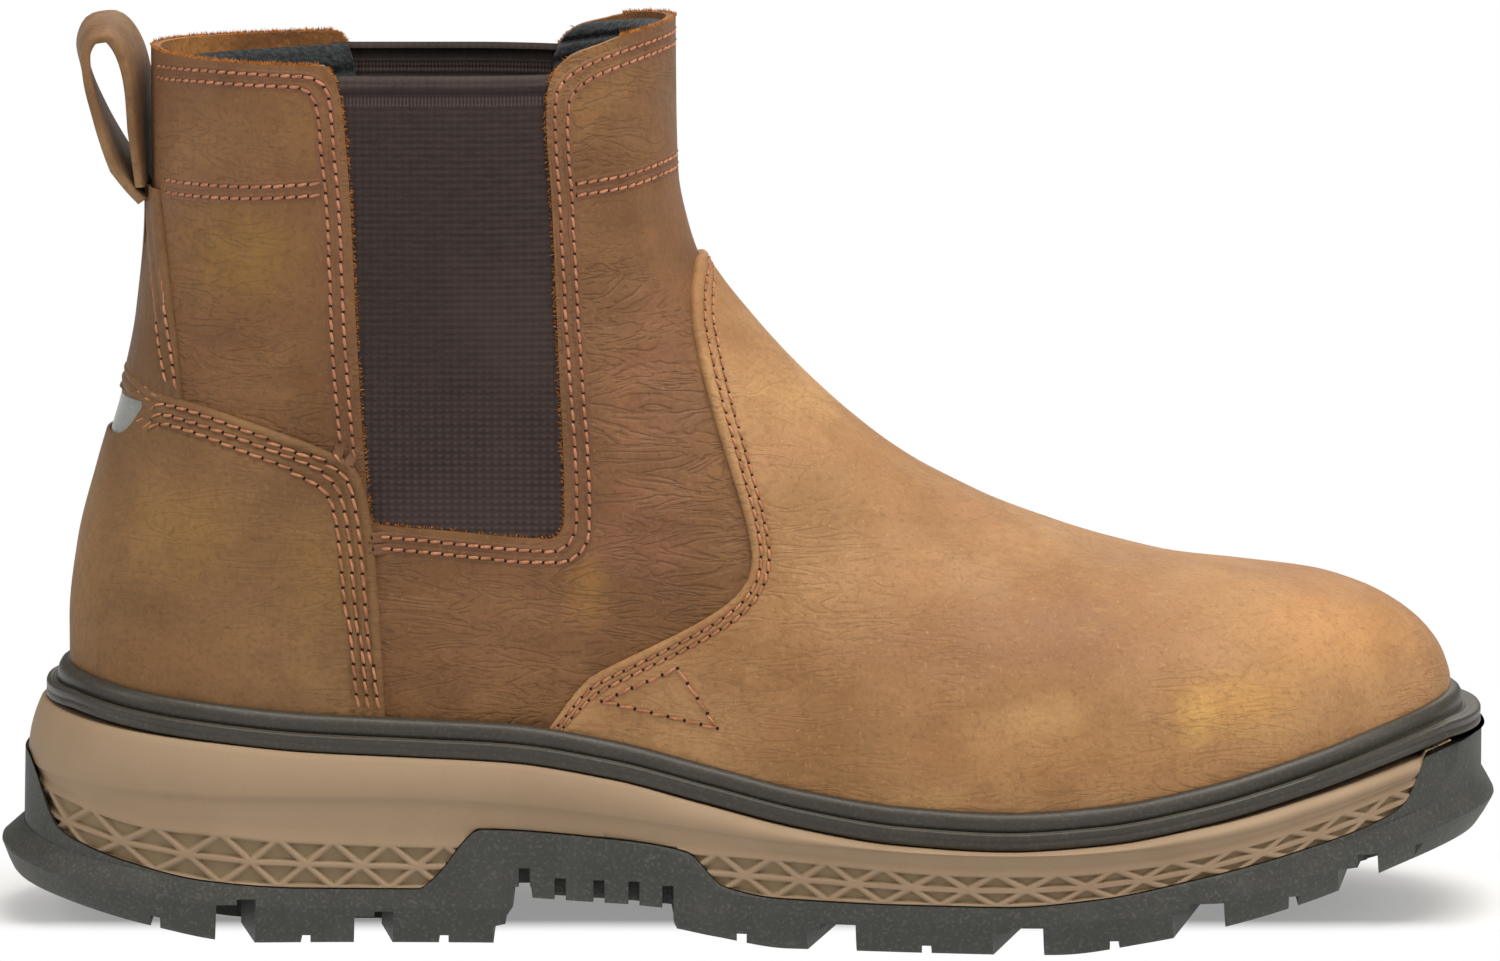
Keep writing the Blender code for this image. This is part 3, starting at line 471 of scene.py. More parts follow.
def leather(name, main, dark, light, red, spots=(), wrinkle=0.0):
    """Oiled pull-up leather: blotched and rubbed lighter in places, with a fine nap and grain.
    The wrinkle is the depth of a net of fine creases, mostly level; their hollows are also painted darker as
    shade."""
    t = Tree(name)
    colour = t.mix(t.span(t.noise(26, 4, 0.6, warp=0.4), 0.38, 0.66), main, dark)
    pale = t.noise(17, 3, 0.55, at=t.moved((1, 1, 1.6), (0.4, 0.2, 1.1)))
    colour = t.mix(t.span(pale, 0.5, 0.72), colour, light)
    ruddy = t.noise(38, 3, 0.5, at=t.moved((1.3, 1, 1), (1.9, 0.7, 0.3)))
    colour = t.mix(t.span(ruddy, 0.54, 0.76, 0.0, 0.55), colour, red)
    for centre, sizes, tint, share in spots:
        colour = t.mix(t.math("MULTIPLY", t.spot(centre, sizes), share), colour, tint)
    colour = t.mix(t.span(t.noise(130, 4, 0.7, warp=0.6), 0.42, 0.66, 0.0, 0.34), colour, dark)
    rubbed = t.noise(210, 5, 0.75, at=t.moved((0.5, 1, 1.2), (0.2, 0.9, 0.2)))
    colour = t.mix(t.span(rubbed, 0.56, 0.74, 0.0, 0.42), colour, light)
    deep = tuple(0.55 * c for c in dark)
    colour = t.mix(t.span(t.noise(820, 4, 0.75), 0.48, 0.70, 0.0, 0.42), colour, deep)
    bright = tuple(min(1.0, 1.35 * c) for c in light)
    flecks = t.noise(1250, 3, 0.7, at=t.moved((1, 1, 0.6), (0.3, 0.2, 0.4)))
    colour = t.mix(t.span(flecks, 0.56, 0.76, 0.0, 0.36), colour, bright)
    scuffs = t.noise(160, 6, 0.8, at=t.moved((0.25, 1, 1.7), (0.2, 0.5, 0.2)))
    colour = t.mix(t.span(scuffs, 0.66, 0.78, 0.0, 0.45), colour, light)
    normal = t.bump(t.noise(110, 4, 0.6), 0.45 * MM, 0.6)
    if wrinkle:
        flow = t.noise(105, 3, 0.55, at=t.moved((0.50, 0.50, 1.7), (0, 0.30, 0)), warp=0.7)
        lines = t.span(t.math("PINGPONG", flow, 0.07), 0.0, 0.045, 0.0, 1.0)
        worn = t.span(t.noise(24, 2, 0.5, at=t.moved((1, 1, 1), (0.7, 0.3, 0.9))), 0.36, 0.60)
        crease_hollow_and_shade = t.math("MULTIPLY", t.math("SUBTRACT", 1.0, lines), worn)
        normal = t.bump(t.math("SUBTRACT", 1.0, crease_hollow_and_shade), wrinkle, 0.7, normal)
        # Painted shade: the crease hollows are coloured darker, as shade falls in them.
        colour = t.mix(t.math("MULTIPLY", crease_hollow_and_shade, 0.14), colour, deep)
    normal = t.bump(t.cells(780.0, {"Smoothness": 0.6}, feature="SMOOTH_F1"), 0.16 * MM, 0.6, normal)
    normal = t.bump(t.noise(1600, 3, 0.75), 0.10 * MM, 0.7, normal)
    rough = t.span(t.noise(60, 4, 0.6), 0.3, 0.7, 0.56, 0.74)
    return t.done(colour, rough, normal, Specular_IOR_Level=0.28, Sheen_Weight=0.03, Sheen_Roughness=0.5)


def section(index, columns):
    """Side view points of the cross sections at a list of fan rows."""
    foot, shaft_rows = FAN[-1][0], 6
    index = np.asarray(index, float)[:, None]
    rise = np.clip((index - foot) / shaft_rows, 0, 1)
    front = smooth(FAN, 1, np.minimum(index, foot))
    top = along(FRONT_CURVE, front + (1 - front) * rise)
    on_seat = along(SEAT_CURVE, smooth(FAN, 2, np.minimum(index, foot)))
    low = np.where(rise[..., None] > 0, along(BACK_CURVE, rise), on_seat)
    j = np.linspace(0, 1, columns)[None, :]
    to_heel = ease((index / foot - 0.45) / 0.5)
    v = (1 - np.cos(j * math.pi / 2)) * (1 - to_heel) + (1 - np.cos(j * math.pi)) / 2 * to_heel
    points = top + (low - top) * v[..., None]
    points[..., 1] -= COLLAR_SAG * rise**2 * 4 * v * (1 - v)
    return points


def outline_curve(points, count=260):
    return even_curve(np.array(points) * MM, count)


HULL_LEATHER = leather(
    "oiled_leather", srgb(127, 88, 55), srgb(109, 74, 44), srgb(144, 103, 62), srgb(132, 90, 60),
    spots=(
        ((-0.105, -0.030, 0.142), (0.020, 0.05, 0.016), srgb(144, 107, 50), 0.55),
        ((-0.096, -0.030, 0.170), (0.024, 0.05, 0.012), srgb(139, 101, 60), 0.45),
        ((-0.020, -0.025, 0.112), (0.020, 0.04, 0.030), srgb(141, 94, 66), 0.55),
        ((-0.045, -0.030, 0.068), (0.034, 0.04, 0.018), srgb(132, 90, 58), 0.45),
        ((-0.033, -0.030, 0.073), (0.007, 0.04, 0.012), srgb(158, 112, 58), 0.6),
        ((-0.022, -0.030, 0.084), (0.016, 0.04, 0.016), srgb(134, 86, 66), 0.6),
        ((-0.014, -0.030, 0.112), (0.014, 0.04, 0.022), srgb(112, 76, 50), 0.55),
        ((-0.014, -0.030, 0.172), (0.020, 0.04, 0.014), srgb(112, 77, 48), 0.55),
    ), wrinkle=0.30 * MM)
RAW_EDGE = leather(
    "raw_leather", srgb(150, 98, 50), srgb(112, 72, 38), srgb(182, 126, 68), srgb(158, 96, 48))
FOOT_ROWS = 189
hull_index = np.concatenate([np.linspace(0, 22, FOOT_ROWS + 1)[:-1], np.linspace(22, 28, 86)])
hull_grid = laid_out(section(hull_index, 62), closed_from=FOOT_ROWS)
hull_grid[0] = hull_grid[0].mean(axis=0)
hull_grid -= grid_normals(hull_grid) * crease_depth(hull_grid, CREASES)[..., None]
hull_grid[FOOT_ROWS:, -1] = hull_grid[FOOT_ROWS:, 0]
hull = sheet("leather_upper", hull_grid, [HULL_LEATHER, RAW_EDGE])
thicken(hull, HULL_WALL, rim=1, inner=1)
cut_through(hull, outline_curve(NOTCH), [HULL_LEATHER, RAW_EDGE])
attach(hull, "root")
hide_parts("upper")

# Elastic gores
# A panel of brown woven elastic behind each notch, 1.6 mm thick and lapped 6 mm under the
# leather all round. Its top is a rolled selvedge with a band of ticks under it.
GORE_LAP = 6 * MM
GORE_TOP = 177.7 * MM
GORE_DEPTH = 2.35 * MM
GORE_WALL = 1.5 * MM
# Rear and front edge of the opening over a gore: height and place
REAR_EDGE = ((0.079, -0.0775), (0.0865, -0.0779), (0.1228, -0.0804), (0.1537, -0.0817), (0.178, -0.0826))
FRONT_EDGE = ((0.079, -0.0385), (0.0917, -0.0380), (0.1228, -0.0392), (0.1537, -0.0405), (0.178, -0.0417))


def elastic():
    t = Tree("woven_elastic")
    rows = t.waves(230.0, t.moved((0, 0, 1)), "Z", Distortion=0.4, Detail=1.0, **{"Detail Scale": 3.0})
    cords = t.waves(190.0, t.moved((1, 0, 0.04)), Distortion=0.3)
    cloth = t.noise(240, 4, 0.7, at=t.moved((1, 1, 5)))
    colour = t.mix(t.span(cloth, 0.35, 0.7), srgb(53, 41, 38), srgb(43, 32, 30))
    colour = t.mix(t.span(t.noise(30, 3, 0.5), 0.45, 0.75, 0.0, 0.5), colour, srgb(64, 51, 47))
    height = t.axis("Z")
    low_down = t.span(height, 0.135, 0.095, 0.25, 1.0)
    weave = t.math("MULTIPLY", t.math("MULTIPLY", rows, cords), low_down)
    colour = t.mix(t.math("MULTIPLY", weave, 0.35), colour, srgb(92, 76, 70))
    tick_band = t.math("MULTIPLY", t.span(height, 0.1728, 0.1731), t.span(height, 0.1750, 0.1747))
    ticks = t.math("MULTIPLY", t.span(t.waves(430.0, t.moved((1, 0, 0))), 0.55, 0.8), tick_band)
    colour = t.mix(t.math("MULTIPLY", ticks, 0.5), colour, srgb(96, 82, 77))
    # Painted shade: a near-black band just under the rolled selvedge, where shade falls beneath the roll.
    fold = t.math("MULTIPLY", t.span(height, 0.1752, 0.1755), t.span(height, 0.1764, 0.1758))
    colour = t.mix(t.math("MULTIPLY", fold, 0.6), colour, srgb(24, 18, 17))
    normal = t.bump(t.math("ADD", rows, cords), 0.16 * MM, 0.8)
    normal = t.bump(t.noise(1500, 2, 0.6), 0.06 * MM, 0.6, normal)
    return t.done(colour, 0.8, normal, Specular_IOR_Level=0.25, Sheen_Weight=0.08)


def side_patch(xs, zs, lift, side):
    """Grid on one side of the last from side view grids of places, moved out by a lift."""
    mid = middle(xs.ravel(), zs.ravel()).reshape(xs.shape)
    half = half_width(xs.ravel(), zs.ravel()).reshape(xs.shape)
    grid = np.stack([xs, mid + side * half, zs], axis=-1)
    normal = np.cross(np.gradient(grid, axis=1), np.gradient(grid, axis=0))
    normal /= np.maximum(np.linalg.norm(normal, axis=-1, keepdims=True), 1e-15)
    normal *= np.sign(normal[..., 1:2]) * side
    return grid + normal * lift[..., None]


GORE_MATERIAL = elastic()
for side, name in ((-1, "lateral"), (1, "medial")):
    down = np.concatenate([np.linspace(0, 3.4, 18)[:-1], np.linspace(3.4, 98.7, 96)]) * MM
    across = np.linspace(0, 1, 60)
    zs = np.repeat((GORE_TOP - down)[:, None], len(across), axis=1)
    left = np.interp(zs[:, 0], *np.array(REAR_EDGE).T)
    right = np.interp(zs[:, 0], *np.array(FRONT_EDGE).T)
    xs = (left - GORE_LAP)[:, None] * (1 - across) + (right + GORE_LAP)[:, None] * across
    d = down[:, None] / MM
    roll = 0.55 * np.exp(-((d - 1.2) / 0.9) ** 2) - 0.25 * np.exp(-((d - 2.7) / 0.35) ** 2)
    tuck = -0.9 * np.exp(-(d / 0.35) ** 2)
    sag = 0.5 * np.sin(math.pi * across) * ease(d / 20)
    gore = mesh_piece(
        "elastic_gore_" + name,
        side_patch(xs, zs, -GORE_DEPTH + (roll + tuck + sag) * MM, side).reshape(-1, 3),
        sheet_faces(*xs.shape, turned=side > 0), [GORE_MATERIAL], outward=False)
    thicken(gore, GORE_WALL)
    settle(gore)
    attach(gore, "root")
    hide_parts("gore_" + name)

# Lining
# Dark grey cloth glued inside the leather from the seat up to 5 mm under the collar,
# where the bare flesh side of the leather shows above it. It is cut out at the gores too.
LINING_DEPTH = HULL_WALL + 0.25 * MM
LINING_WALL = 0.8 * MM


def cloth(name, main, light, seam):
    t = Tree(name)
    colour = t.mix(t.span(t.noise(700, 3, 0.7), 0.35, 0.7), main, light)
    colour = t.mix(t.span(t.noise(45, 3, 0.6), 0.5, 0.8, 0.0, 0.6), colour, seam)
    threads = t.bump(t.cells(1100.0), 0.25 * MM, 0.9)
    return t.done(colour, 0.95, threads, Specular_IOR_Level=0.15, Sheen_Weight=0.15)


LINING_CLOTH = cloth("lining_cloth", srgb(37, 41, 42), srgb(58, 62, 62), srgb(28, 31, 32))
LINING_FOOT_ROWS = 79
lining_index = np.concatenate([
    np.linspace(0.6, 22, LINING_FOOT_ROWS + 1)[:-1], np.linspace(22, 27.80, 34)])
lining_grid = laid_out(section(lining_index, 34), closed_from=LINING_FOOT_ROWS)
lining_grid -= grid_normals(lining_grid) * LINING_DEPTH
lining_grid[LINING_FOOT_ROWS:, -1] = lining_grid[LINING_FOOT_ROWS:, 0]
lining = sheet("cloth_lining", lining_grid, [LINING_CLOTH])
thicken(lining, LINING_WALL)
cut_through(lining, outline_curve(NOTCH, 120), [LINING_CLOTH])
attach(lining, "root")

# Padded collar
# Soft foam pads covered in the lining's cloth, round the inside of each flap, with three rows
# of quilting that draw the cloth down to the leather.
PAD_DEPTH = 3.4 * MM
PAD_WALL = 0.8 * MM
# The pad is thin past the gores: middle of the gap and half its width
GAP_MIDDLE, GAP_HALF = -62.0 * MM, 21.5 * MM
pad_index = np.linspace(26.1, 27.84, 46)
pad_grid = laid_out(section(pad_index, 62), closed_from=0)
pad_out = grid_normals(pad_grid)
share = np.linspace(0, 1, len(pad_index))[:, None]
puff = np.clip(np.sin(math.pi * share), 0, 1) ** 0.45
for row in (0.34, 0.58, 0.80):
    puff = puff - 0.42 * np.exp(-((share - row) / 0.035) ** 2)
past_gore = np.abs(pad_grid[..., 0] - GAP_MIDDLE) - GAP_HALF
puff = puff * (0.12 + 0.88 * ease((past_gore / MM + 1) / 5))
pad_grid = pad_grid - pad_out * (LINING_DEPTH + LINING_WALL - 0.2 * MM + PAD_DEPTH * puff[..., None])
pad_grid[:, -1] = pad_grid[:, 0]
pad = sheet("padded_collar", pad_grid, [LINING_CLOTH])
thicken(pad, -PAD_WALL)
cut_through(pad, outline_curve(NOTCH, 120), [LINING_CLOTH])
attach(pad, "root")

# Insole
# A dark cushioned footbed, 5 mm thick and cupped a little at its rim, lying on the seat.
INSOLE_THICKNESS = 5 * MM
INSOLE_INSET = 3.7 * MM
SEAT_GAP = 0.5 * MM
STATIONS, ACROSS = 110, 31
xs = HEEL_X + LAST_LENGTH * (1 - np.cos(np.linspace(0, math.pi, 400))) / 2
full = half_width(xs, seat(xs) + INSOLE_THICKNESS)
full[[0, -1]] = 0
mid = middle(xs, seat(xs) + INSOLE_THICKNESS)
rim = []
for turn in (-1, 1):
    path = np.stack([xs, mid + turn * full], axis=1)
    lean = np.gradient(path, axis=0)
    lean /= np.linalg.norm(lean, axis=1)[:, None]
    rim.append(path + np.stack([lean[:, 1], -lean[:, 0]], axis=1) * turn * INSOLE_INSET)
low_x = max(rim[0][:, 0].min(), rim[1][:, 0].min()) + 0.2 * MM
high_x = min(rim[0][:, 0].max(), rim[1][:, 0].max()) - 0.2 * MM
stations = low_x + (high_x - low_x) * (1 - np.cos(np.linspace(0, math.pi, STATIONS))) / 2
sides = [np.interp(stations, *rim[k][np.argsort(rim[k][:, 0])].T) for k in (0, 1)]
centre = (sides[0] + sides[1]) / 2
reach = np.maximum(np.abs(sides[1] - sides[0]) / 2, 0.3 * MM)
reach[[0, -1]] *= 0.4
turns = np.linspace(-1, 1, ACROSS)
cup = 1.3 * MM * (1 - turns**4) * 0.5
rounding = 1.0 * MM * np.clip((np.abs(turns) - 0.93) / 0.07, 0, 1)
top = np.stack([
    np.repeat(stations[:, None], ACROSS, axis=1),
    centre[:, None] + reach[:, None] * np.sin(turns * math.pi / 2),
    seat(stations)[:, None] + SEAT_GAP + INSOLE_THICKNESS - cup - rounding], axis=-1)
bottom = top.copy()
bottom[..., 2] = seat(stations)[:, None] + SEAT_GAP
n = STATIONS * ACROSS
faces = sheet_faces(STATIONS, ACROSS)
faces += [tuple(n + v for v in face[::-1]) for face in faces]
ids = np.arange(n).reshape(STATIONS, ACROSS)
border = [*ids[0, :-1], *ids[:-1, -1], *ids[-1, :0:-1], *ids[:0:-1, 0]]
faces += [(a, b, n + b, n + a) for a, b in zip(border, border[1:] + border[:1])]
insole = mesh_piece("footbed", np.concatenate([top.reshape(-1, 3), bottom.reshape(-1, 3)]), faces,
                    [cloth("footbed_cloth", srgb(58, 59, 60), srgb(84, 85, 85), srgb(48, 48, 50))])
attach(insole, "root")
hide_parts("insole")

# Vamp
# Lighter tan leather laid over toe and instep, up to a rounded tab on the shin. Its edge is
# folded and drawn down by two rows of stitching; the toe is left plain.
VAMP_EDGE = (
    (-10.9, 138.2), (-11.6, 135.2), (-12.1, 131.3), (-12.0, 127.0), (-11.0, 121.5),
    (-7.4, 108.0), (-3.4, 95.6), (-0.3, 85.2), (0.6, 79.5), (0.0, 75.8), (-2.9, 71.6),
    (-8.2, 67.7), (-14.2, 64.3), (-30.7, 56.0), (-47.2, 46.9),
)
# Folded edge from outside in: distance from the edge and height over the upper, in millimetres
FOLD = (
    (0.0, 0.05), (-0.05, 0.55), (0.05, 1.0), (0.25, 1.36), (0.6, 1.64), (1.0, 1.74), (1.35, 1.67),
    (1.65, 1.47), (1.9, 1.38), (2.15, 1.47), (2.45, 1.68), (2.7, 1.75), (2.95, 1.68), (3.25, 1.47),
    (3.5, 1.38), (3.8, 1.48), (4.3, 1.72), (5.1, 1.85), (6.2, 1.89), (8.0, 1.90),
)
VAMP_ROWS = (1.9, 3.5)


def smooth_unit(values, spread):
    """Unit vectors along a line, each blended with its neighbours."""
    kernel = np.exp(-(np.arange(-3 * spread, 3 * spread + 1) / spread) ** 2)
    kernel /= kernel.sum()
    wide = np.pad(values, ((3 * spread, 3 * spread), (0, 0)), mode="edge")
    out = np.stack([np.convolve(wide[:, k], kernel, "valid") for k in (0, 1)], axis=1)
    return out / np.linalg.norm(out, axis=1)[:, None]


def share_at(curve, index, value):
    """Share of an evenly spaced curve where one coordinate reaches a value."""
    return int(np.argmin(np.abs(curve[:, index] - value))) / (len(curve) - 1)


def folded_rows(fold, edge, v, inward, ridge, ridge_start, ridge_way):
    """Rows set in from a panel's edge, kept on the ridge at one end and on the seat at the other."""
    length = np.sum(np.linalg.norm(np.diff(ridge, axis=0), axis=1))
    rows = []
    for inset, _ in fold:
        row = edge + inward * inset * MM
        start = along(ridge, ridge_start + ridge_way * inset * MM / length)
        row += (start - row[0]) * (np.clip(1 - v / 0.10, 0, 1) ** 2)[:, None]
        row[:, 1] += (seat(row[-1, 0]) + 0.3 * MM - row[-1, 1]) * ease((v - 0.85) / 0.15)
        rows.append(row)
    return rows, ridge_start + ridge_way * fold[-1][0] * MM / length


def set_in_way(edge_line, v, turn, spread):
    """Unit vectors from a panel's edge into the panel, at the given shares of the edge."""
    lean = np.gradient(edge_line, axis=0)
    line = smooth_unit(np.stack([-turn * lean[:, 1], turn * lean[:, 0]], axis=1), spread)
    return np.stack([np.interp(v, np.linspace(0, 1, len(line)), line[:, k]) for k in (0, 1)], axis=1)


def kept_inside(points, least):
    """Side view points held at least so far behind the front ridge, column by column."""
    way = np.gradient(FRONT_CURVE, axis=0)
    way /= np.linalg.norm(way, axis=1)[:, None]
    out = points.copy()
    for c in range(1, points.shape[1]):
        near = np.argmin(np.hypot(*(points[:, c, None] - FRONT_CURVE[None]).transpose(2, 0, 1)), axis=1)
        foot, lean = FRONT_CURVE[near], way[near]
        into = np.stack([-lean[:, 1], lean[:, 0]], axis=1)
        depth = np.sum((points[:, c] - foot) * into, axis=1)
        short = np.clip(least[c] - depth, 0, None)
        out[:, c] += into * short[:, None]
    return out


v = 1 - np.cos(np.linspace(0, math.pi / 2, 70))
tab = share_at(FRONT_CURVE, 1, 138.4 * MM)
edge_line = even_curve([tuple(along(FRONT_CURVE, tab) / MM)] + list(VAMP_EDGE), 400) * MM
edge, inward = along(edge_line, v), set_in_way(edge_line, v, 1, 8)
rows, front_now = folded_rows(FOLD, edge, v, inward, FRONT_CURVE, tab, -1)
least = 9 * MM * np.clip(v, 0, 0.3) + 0.8 * MM * np.sqrt(v)
rows = list(kept_inside(np.array(rows), least))
seat_now = (TIP_X - rows[-1][-1, 0]) / LAST_LENGTH
fan_marks = np.linspace(0, 22, 2201)
fan_start = float(np.interp(seat_now, smooth(FAN, 2, fan_marks), fan_marks))
sag = rows[-1] - (rows[-1][0] + (rows[-1][-1] - rows[-1][0]) * v[:, None])
for i in np.linspace(fan_start, 0, 118)[1:]:
    done = (fan_start - i) / fan_start
    front = smooth(FAN, 1, i) + (front_now - smooth(FAN, 1, fan_start)) * (1 - ease(done / 0.55))
    high, low = along(FRONT_CURVE, front), along(SEAT_CURVE, smooth(FAN, 2, i))
    rows.append(high + (low - high) * v[:, None] + sag * (1 - ease(done / 0.72)))
to_toe = np.clip((np.arange(len(rows)) - 90) / 20, 0, 1)[:, None, None]
rows = np.array(rows)
rows = kept_inside(rows, least) * (1 - to_toe) + rows * to_toe
vamp_grid = laid_out(rows)
vamp_grid[-1] = vamp_grid[-1].mean(axis=0)
lift = np.concatenate([[height for _, height in FOLD], np.full(len(rows) - len(FOLD), 1.9)]) * MM
# Dents pressed into the vamp: depth and width, then their course in side view, in millimetres
DENTS = (
    (0.50, 7.0, ((9, 92), (17, 86), (24, 80))),
    (0.35, 6.0, ((24, 92), (32, 84), (38, 76))),
    (0.30, 6.0, ((48, 80), (52, 70), (52, 60))),
    (0.28, 6.0, ((66, 76), (70, 66), (70, 56))),
)
vamp_out = grid_normals(vamp_grid)
vamp_grid += vamp_out * (lift[:, None] - crease_depth(vamp_grid, DENTS))[..., None]
VAMP_LEATHER = leather(
    "vamp_leather", srgb(168, 126, 84), srgb(148, 106, 66), srgb(186, 143, 94), srgb(170, 120, 84),
    spots=(
        ((0.012, -0.03, 0.088), (0.020, 0.05, 0.016), srgb(134, 98, 58), 0.6),
        ((0.056, -0.04, 0.064), (0.055, 0.05, 0.017), srgb(140, 98, 68), 0.75),
        ((0.100, -0.04, 0.050), (0.020, 0.05, 0.010), srgb(192, 142, 78), 0.6),
        ((0.120, -0.02, 0.062), (0.030, 0.05, 0.014), srgb(190, 138, 88), 0.6),
        ((0.070, -0.05, 0.040), (0.060, 0.05, 0.010), srgb(178, 130, 82), 0.6),
        ((0.092, -0.05, 0.048), (0.006, 0.03, 0.009), srgb(214, 170, 96), 0.5),
    ), wrinkle=0.12 * MM)
vamp = sheet("leather_vamp", vamp_grid, [VAMP_LEATHER])
thicken(vamp, 0.6 * MM)
settle(vamp)
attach(vamp, "root")
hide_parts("vamp")
insets = [inset for inset, _ in FOLD]
seams = [vamp_grid[row] + vamp_out[row] * 0.1 * MM for row in map(insets.index, VAMP_ROWS)]

# Heel counter
# A cup of leather round the heel, its edge folded and held by three rows of stitching. A window
# in its back shows a pale reflective strip.
COUNTER_EDGE = (
    (-127.1, 114.6), (-124.5, 113.2), (-122.0, 112.2), (-118.3, 111.3), (-111.0, 109.8),
    (-102.4, 107.3), (-93.4, 104.3), (-86.9, 101.6), (-82.6, 99.4), (-80.4, 96.8), (-79.2, 93.6),
    (-78.4, 90.0), (-77.6, 85.0), (-77.0, 79.5), (-75.9, 62.6), (-74.8, 46.9),
)
COUNTER_FOLD = (
    (0.0, 0.05), (-0.05, 0.55), (0.05, 1.0), (0.3, 1.4), (0.75, 1.7), (1.2, 1.78), (1.65, 1.62),
    (2.1, 1.42), (2.55, 1.60), (3.1, 1.80), (3.7, 1.66), (4.3, 1.42), (4.9, 1.66), (5.4, 1.80),
    (5.95, 1.64), (6.5, 1.46), (7.1, 1.70), (8.0, 1.88),
)
WINDOW = (
    (-145.0, 110.9), (-131.6, 110.8), (-129.0, 110.6), (-127.0, 110.3), (-125.9, 109.7), (-125.6, 108.9),
    (-126.3, 107.6), (-127.6, 105.5), (-129.3, 103.4), (-131.2, 102.2), (-133.4, 101.9), (-145.0, 101.8),
)
v = np.linspace(0, 1, 100) ** 1.6
top_share = share_at(BACK_CURVE, 1, 115.6 * MM)
edge_line = even_curve([tuple(along(BACK_CURVE, top_share) / MM)] + list(COUNTER_EDGE), 400) * MM
edge, inward = along(edge_line, v), set_in_way(edge_line, v, -1, 16)
rows, back_now = folded_rows(COUNTER_FOLD, edge, v, inward, BACK_CURVE, top_share, -1)
first, last = rows[-1][0], rows[-1][-1]
sag = rows[-1] - (first + (last - first) * v[:, None])
seat_now = (TIP_X - last[0]) / LAST_LENGTH
for done in np.linspace(0, 1, 64)[1:]:
    high = along(BACK_CURVE, back_now * (1 - done))
    low = along(SEAT_CURVE, seat_now + (1 - seat_now) * done)
    size = np.linalg.norm(high - low) / np.linalg.norm(first - last)
    rows.append(high + (low - high) * v[:, None] + sag * size)
counter_grid = laid_out(np.array(rows))
flat_rows = len(rows) - len(COUNTER_FOLD)
lift = np.concatenate([[height for _, height in COUNTER_FOLD], np.full(flat_rows, 1.9)]) * MM
counter_grid += grid_normals(counter_grid) * lift[:, None, None]
COUNTER_LEATHER = leather(
    "counter_leather", srgb(128, 93, 58), srgb(112, 79, 47), srgb(144, 107, 66), srgb(129, 89, 60),
    spots=(
        ((-0.118, -0.03, 0.085), (0.022, 0.05, 0.018), srgb(146, 109, 60), 0.5),
        ((-0.090, -0.03, 0.075), (0.014, 0.05, 0.020), srgb(142, 104, 56), 0.4),
        ((-0.120, -0.03, 0.058), (0.030, 0.05, 0.010), srgb(118, 80, 46), 0.5),
        ((-0.139, -0.005, 0.080), (0.012, 0.05, 0.035), srgb(160, 120, 70), 0.5),
    ), wrinkle=0.10 * MM)
counter = sheet("leather_heel_counter", counter_grid, [COUNTER_LEATHER, RAW_EDGE])
thicken(counter, 0.6 * MM)
cut_through(counter, outline_curve(WINDOW, 120), [COUNTER_LEATHER, RAW_EDGE])
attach(counter, "root")
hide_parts("heel_counter")

# Reflector
# Pale grey reflective tape sewn behind the counter's window.
TAPE_FRONT = -122.5 * MM
zs = np.linspace(112.5, 98.0, 24) * MM
across = np.linspace(0, 1, 22) ** 1.8
backs = np.interp(zs, BACK_CURVE[:, 1], BACK_CURVE[:, 0])[:, None]
xs = backs + (TAPE_FRONT - backs) * across
tape_grid = laid_out(np.stack([xs, np.repeat(zs[:, None], 22, axis=1)], axis=-1))
tape_grid += grid_normals(tape_grid) * 1.0 * MM
t = Tree("reflective_tape")
beads = t.cells(1500.0)
TAPE = t.done(t.mix(t.span(beads, 0.1, 0.6), srgb(170, 172, 166), srgb(150, 152, 146)), 0.35,
              t.bump(beads, 0.05 * MM, 0.5), Metallic=0.25)
tape = sheet("reflective_tape", tape_grid, [TAPE])
thicken(tape, 0.5 * MM)
settle(tape)
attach(tape, "root")
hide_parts("heel_reflector")

# Backstay
# A strip of leather up the back seam from the counter to the pull loop, sewn down by two rows
# along each of its edges.
STRIP_TOP, STRIP_FOOT = 153.2, 108.5
# Front edge of the strip in side view: height and place, in millimetres
STRIP_FRONT = ((109.0, -116.5), (123.6, -118.1), (138.3, -120.1), (152.9, -122.0))
zs = np.linspace(STRIP_TOP, STRIP_FOOT, 60) * MM
backs = np.interp(zs, BACK_CURVE[:, 1], BACK_CURVE[:, 0])
fronts = np.interp(zs, *(np.array(STRIP_FRONT) * MM).T)
insets = np.array(FOLD)[::-1]
insets = insets[insets[:, 0] <= 5.5]
spine = np.linspace(0, 1, 26) ** 1.7
strip_rows = []
for z, back, front in zip(zs, backs, fronts):
    inner = front - insets[0, 0] * MM
    xs = np.concatenate([back + max(inner - back, 0.4 * MM) * spine, front - insets[1:, 0] * MM])
    xs = np.maximum.accumulate(xs)
    strip_rows.append(np.stack([xs, np.full(len(xs), z)], axis=1))
strip_grid = laid_out(np.array(strip_rows))
half_lift = np.concatenate([np.full(len(spine), 1.5), insets[1:, 1] * 0.8])
strip_lift = np.concatenate([half_lift[::-1], half_lift[1:]]) * MM
ends = ease((zs - STRIP_FOOT * MM) / (3 * MM))[:, None]
strip_grid += grid_normals(strip_grid) * (strip_lift[None, :] * (0.6 + 0.4 * ends))[..., None]
STRIP_LEATHER = leather(
    "backstay_leather", srgb(118, 84, 52), srgb(100, 70, 42), srgb(134, 98, 60), srgb(120, 82, 54))
strip = sheet("leather_backstay", strip_grid, [STRIP_LEATHER])
thicken(strip, 0.6 * MM)
settle(strip)
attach(strip, "root")
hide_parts("backstay")

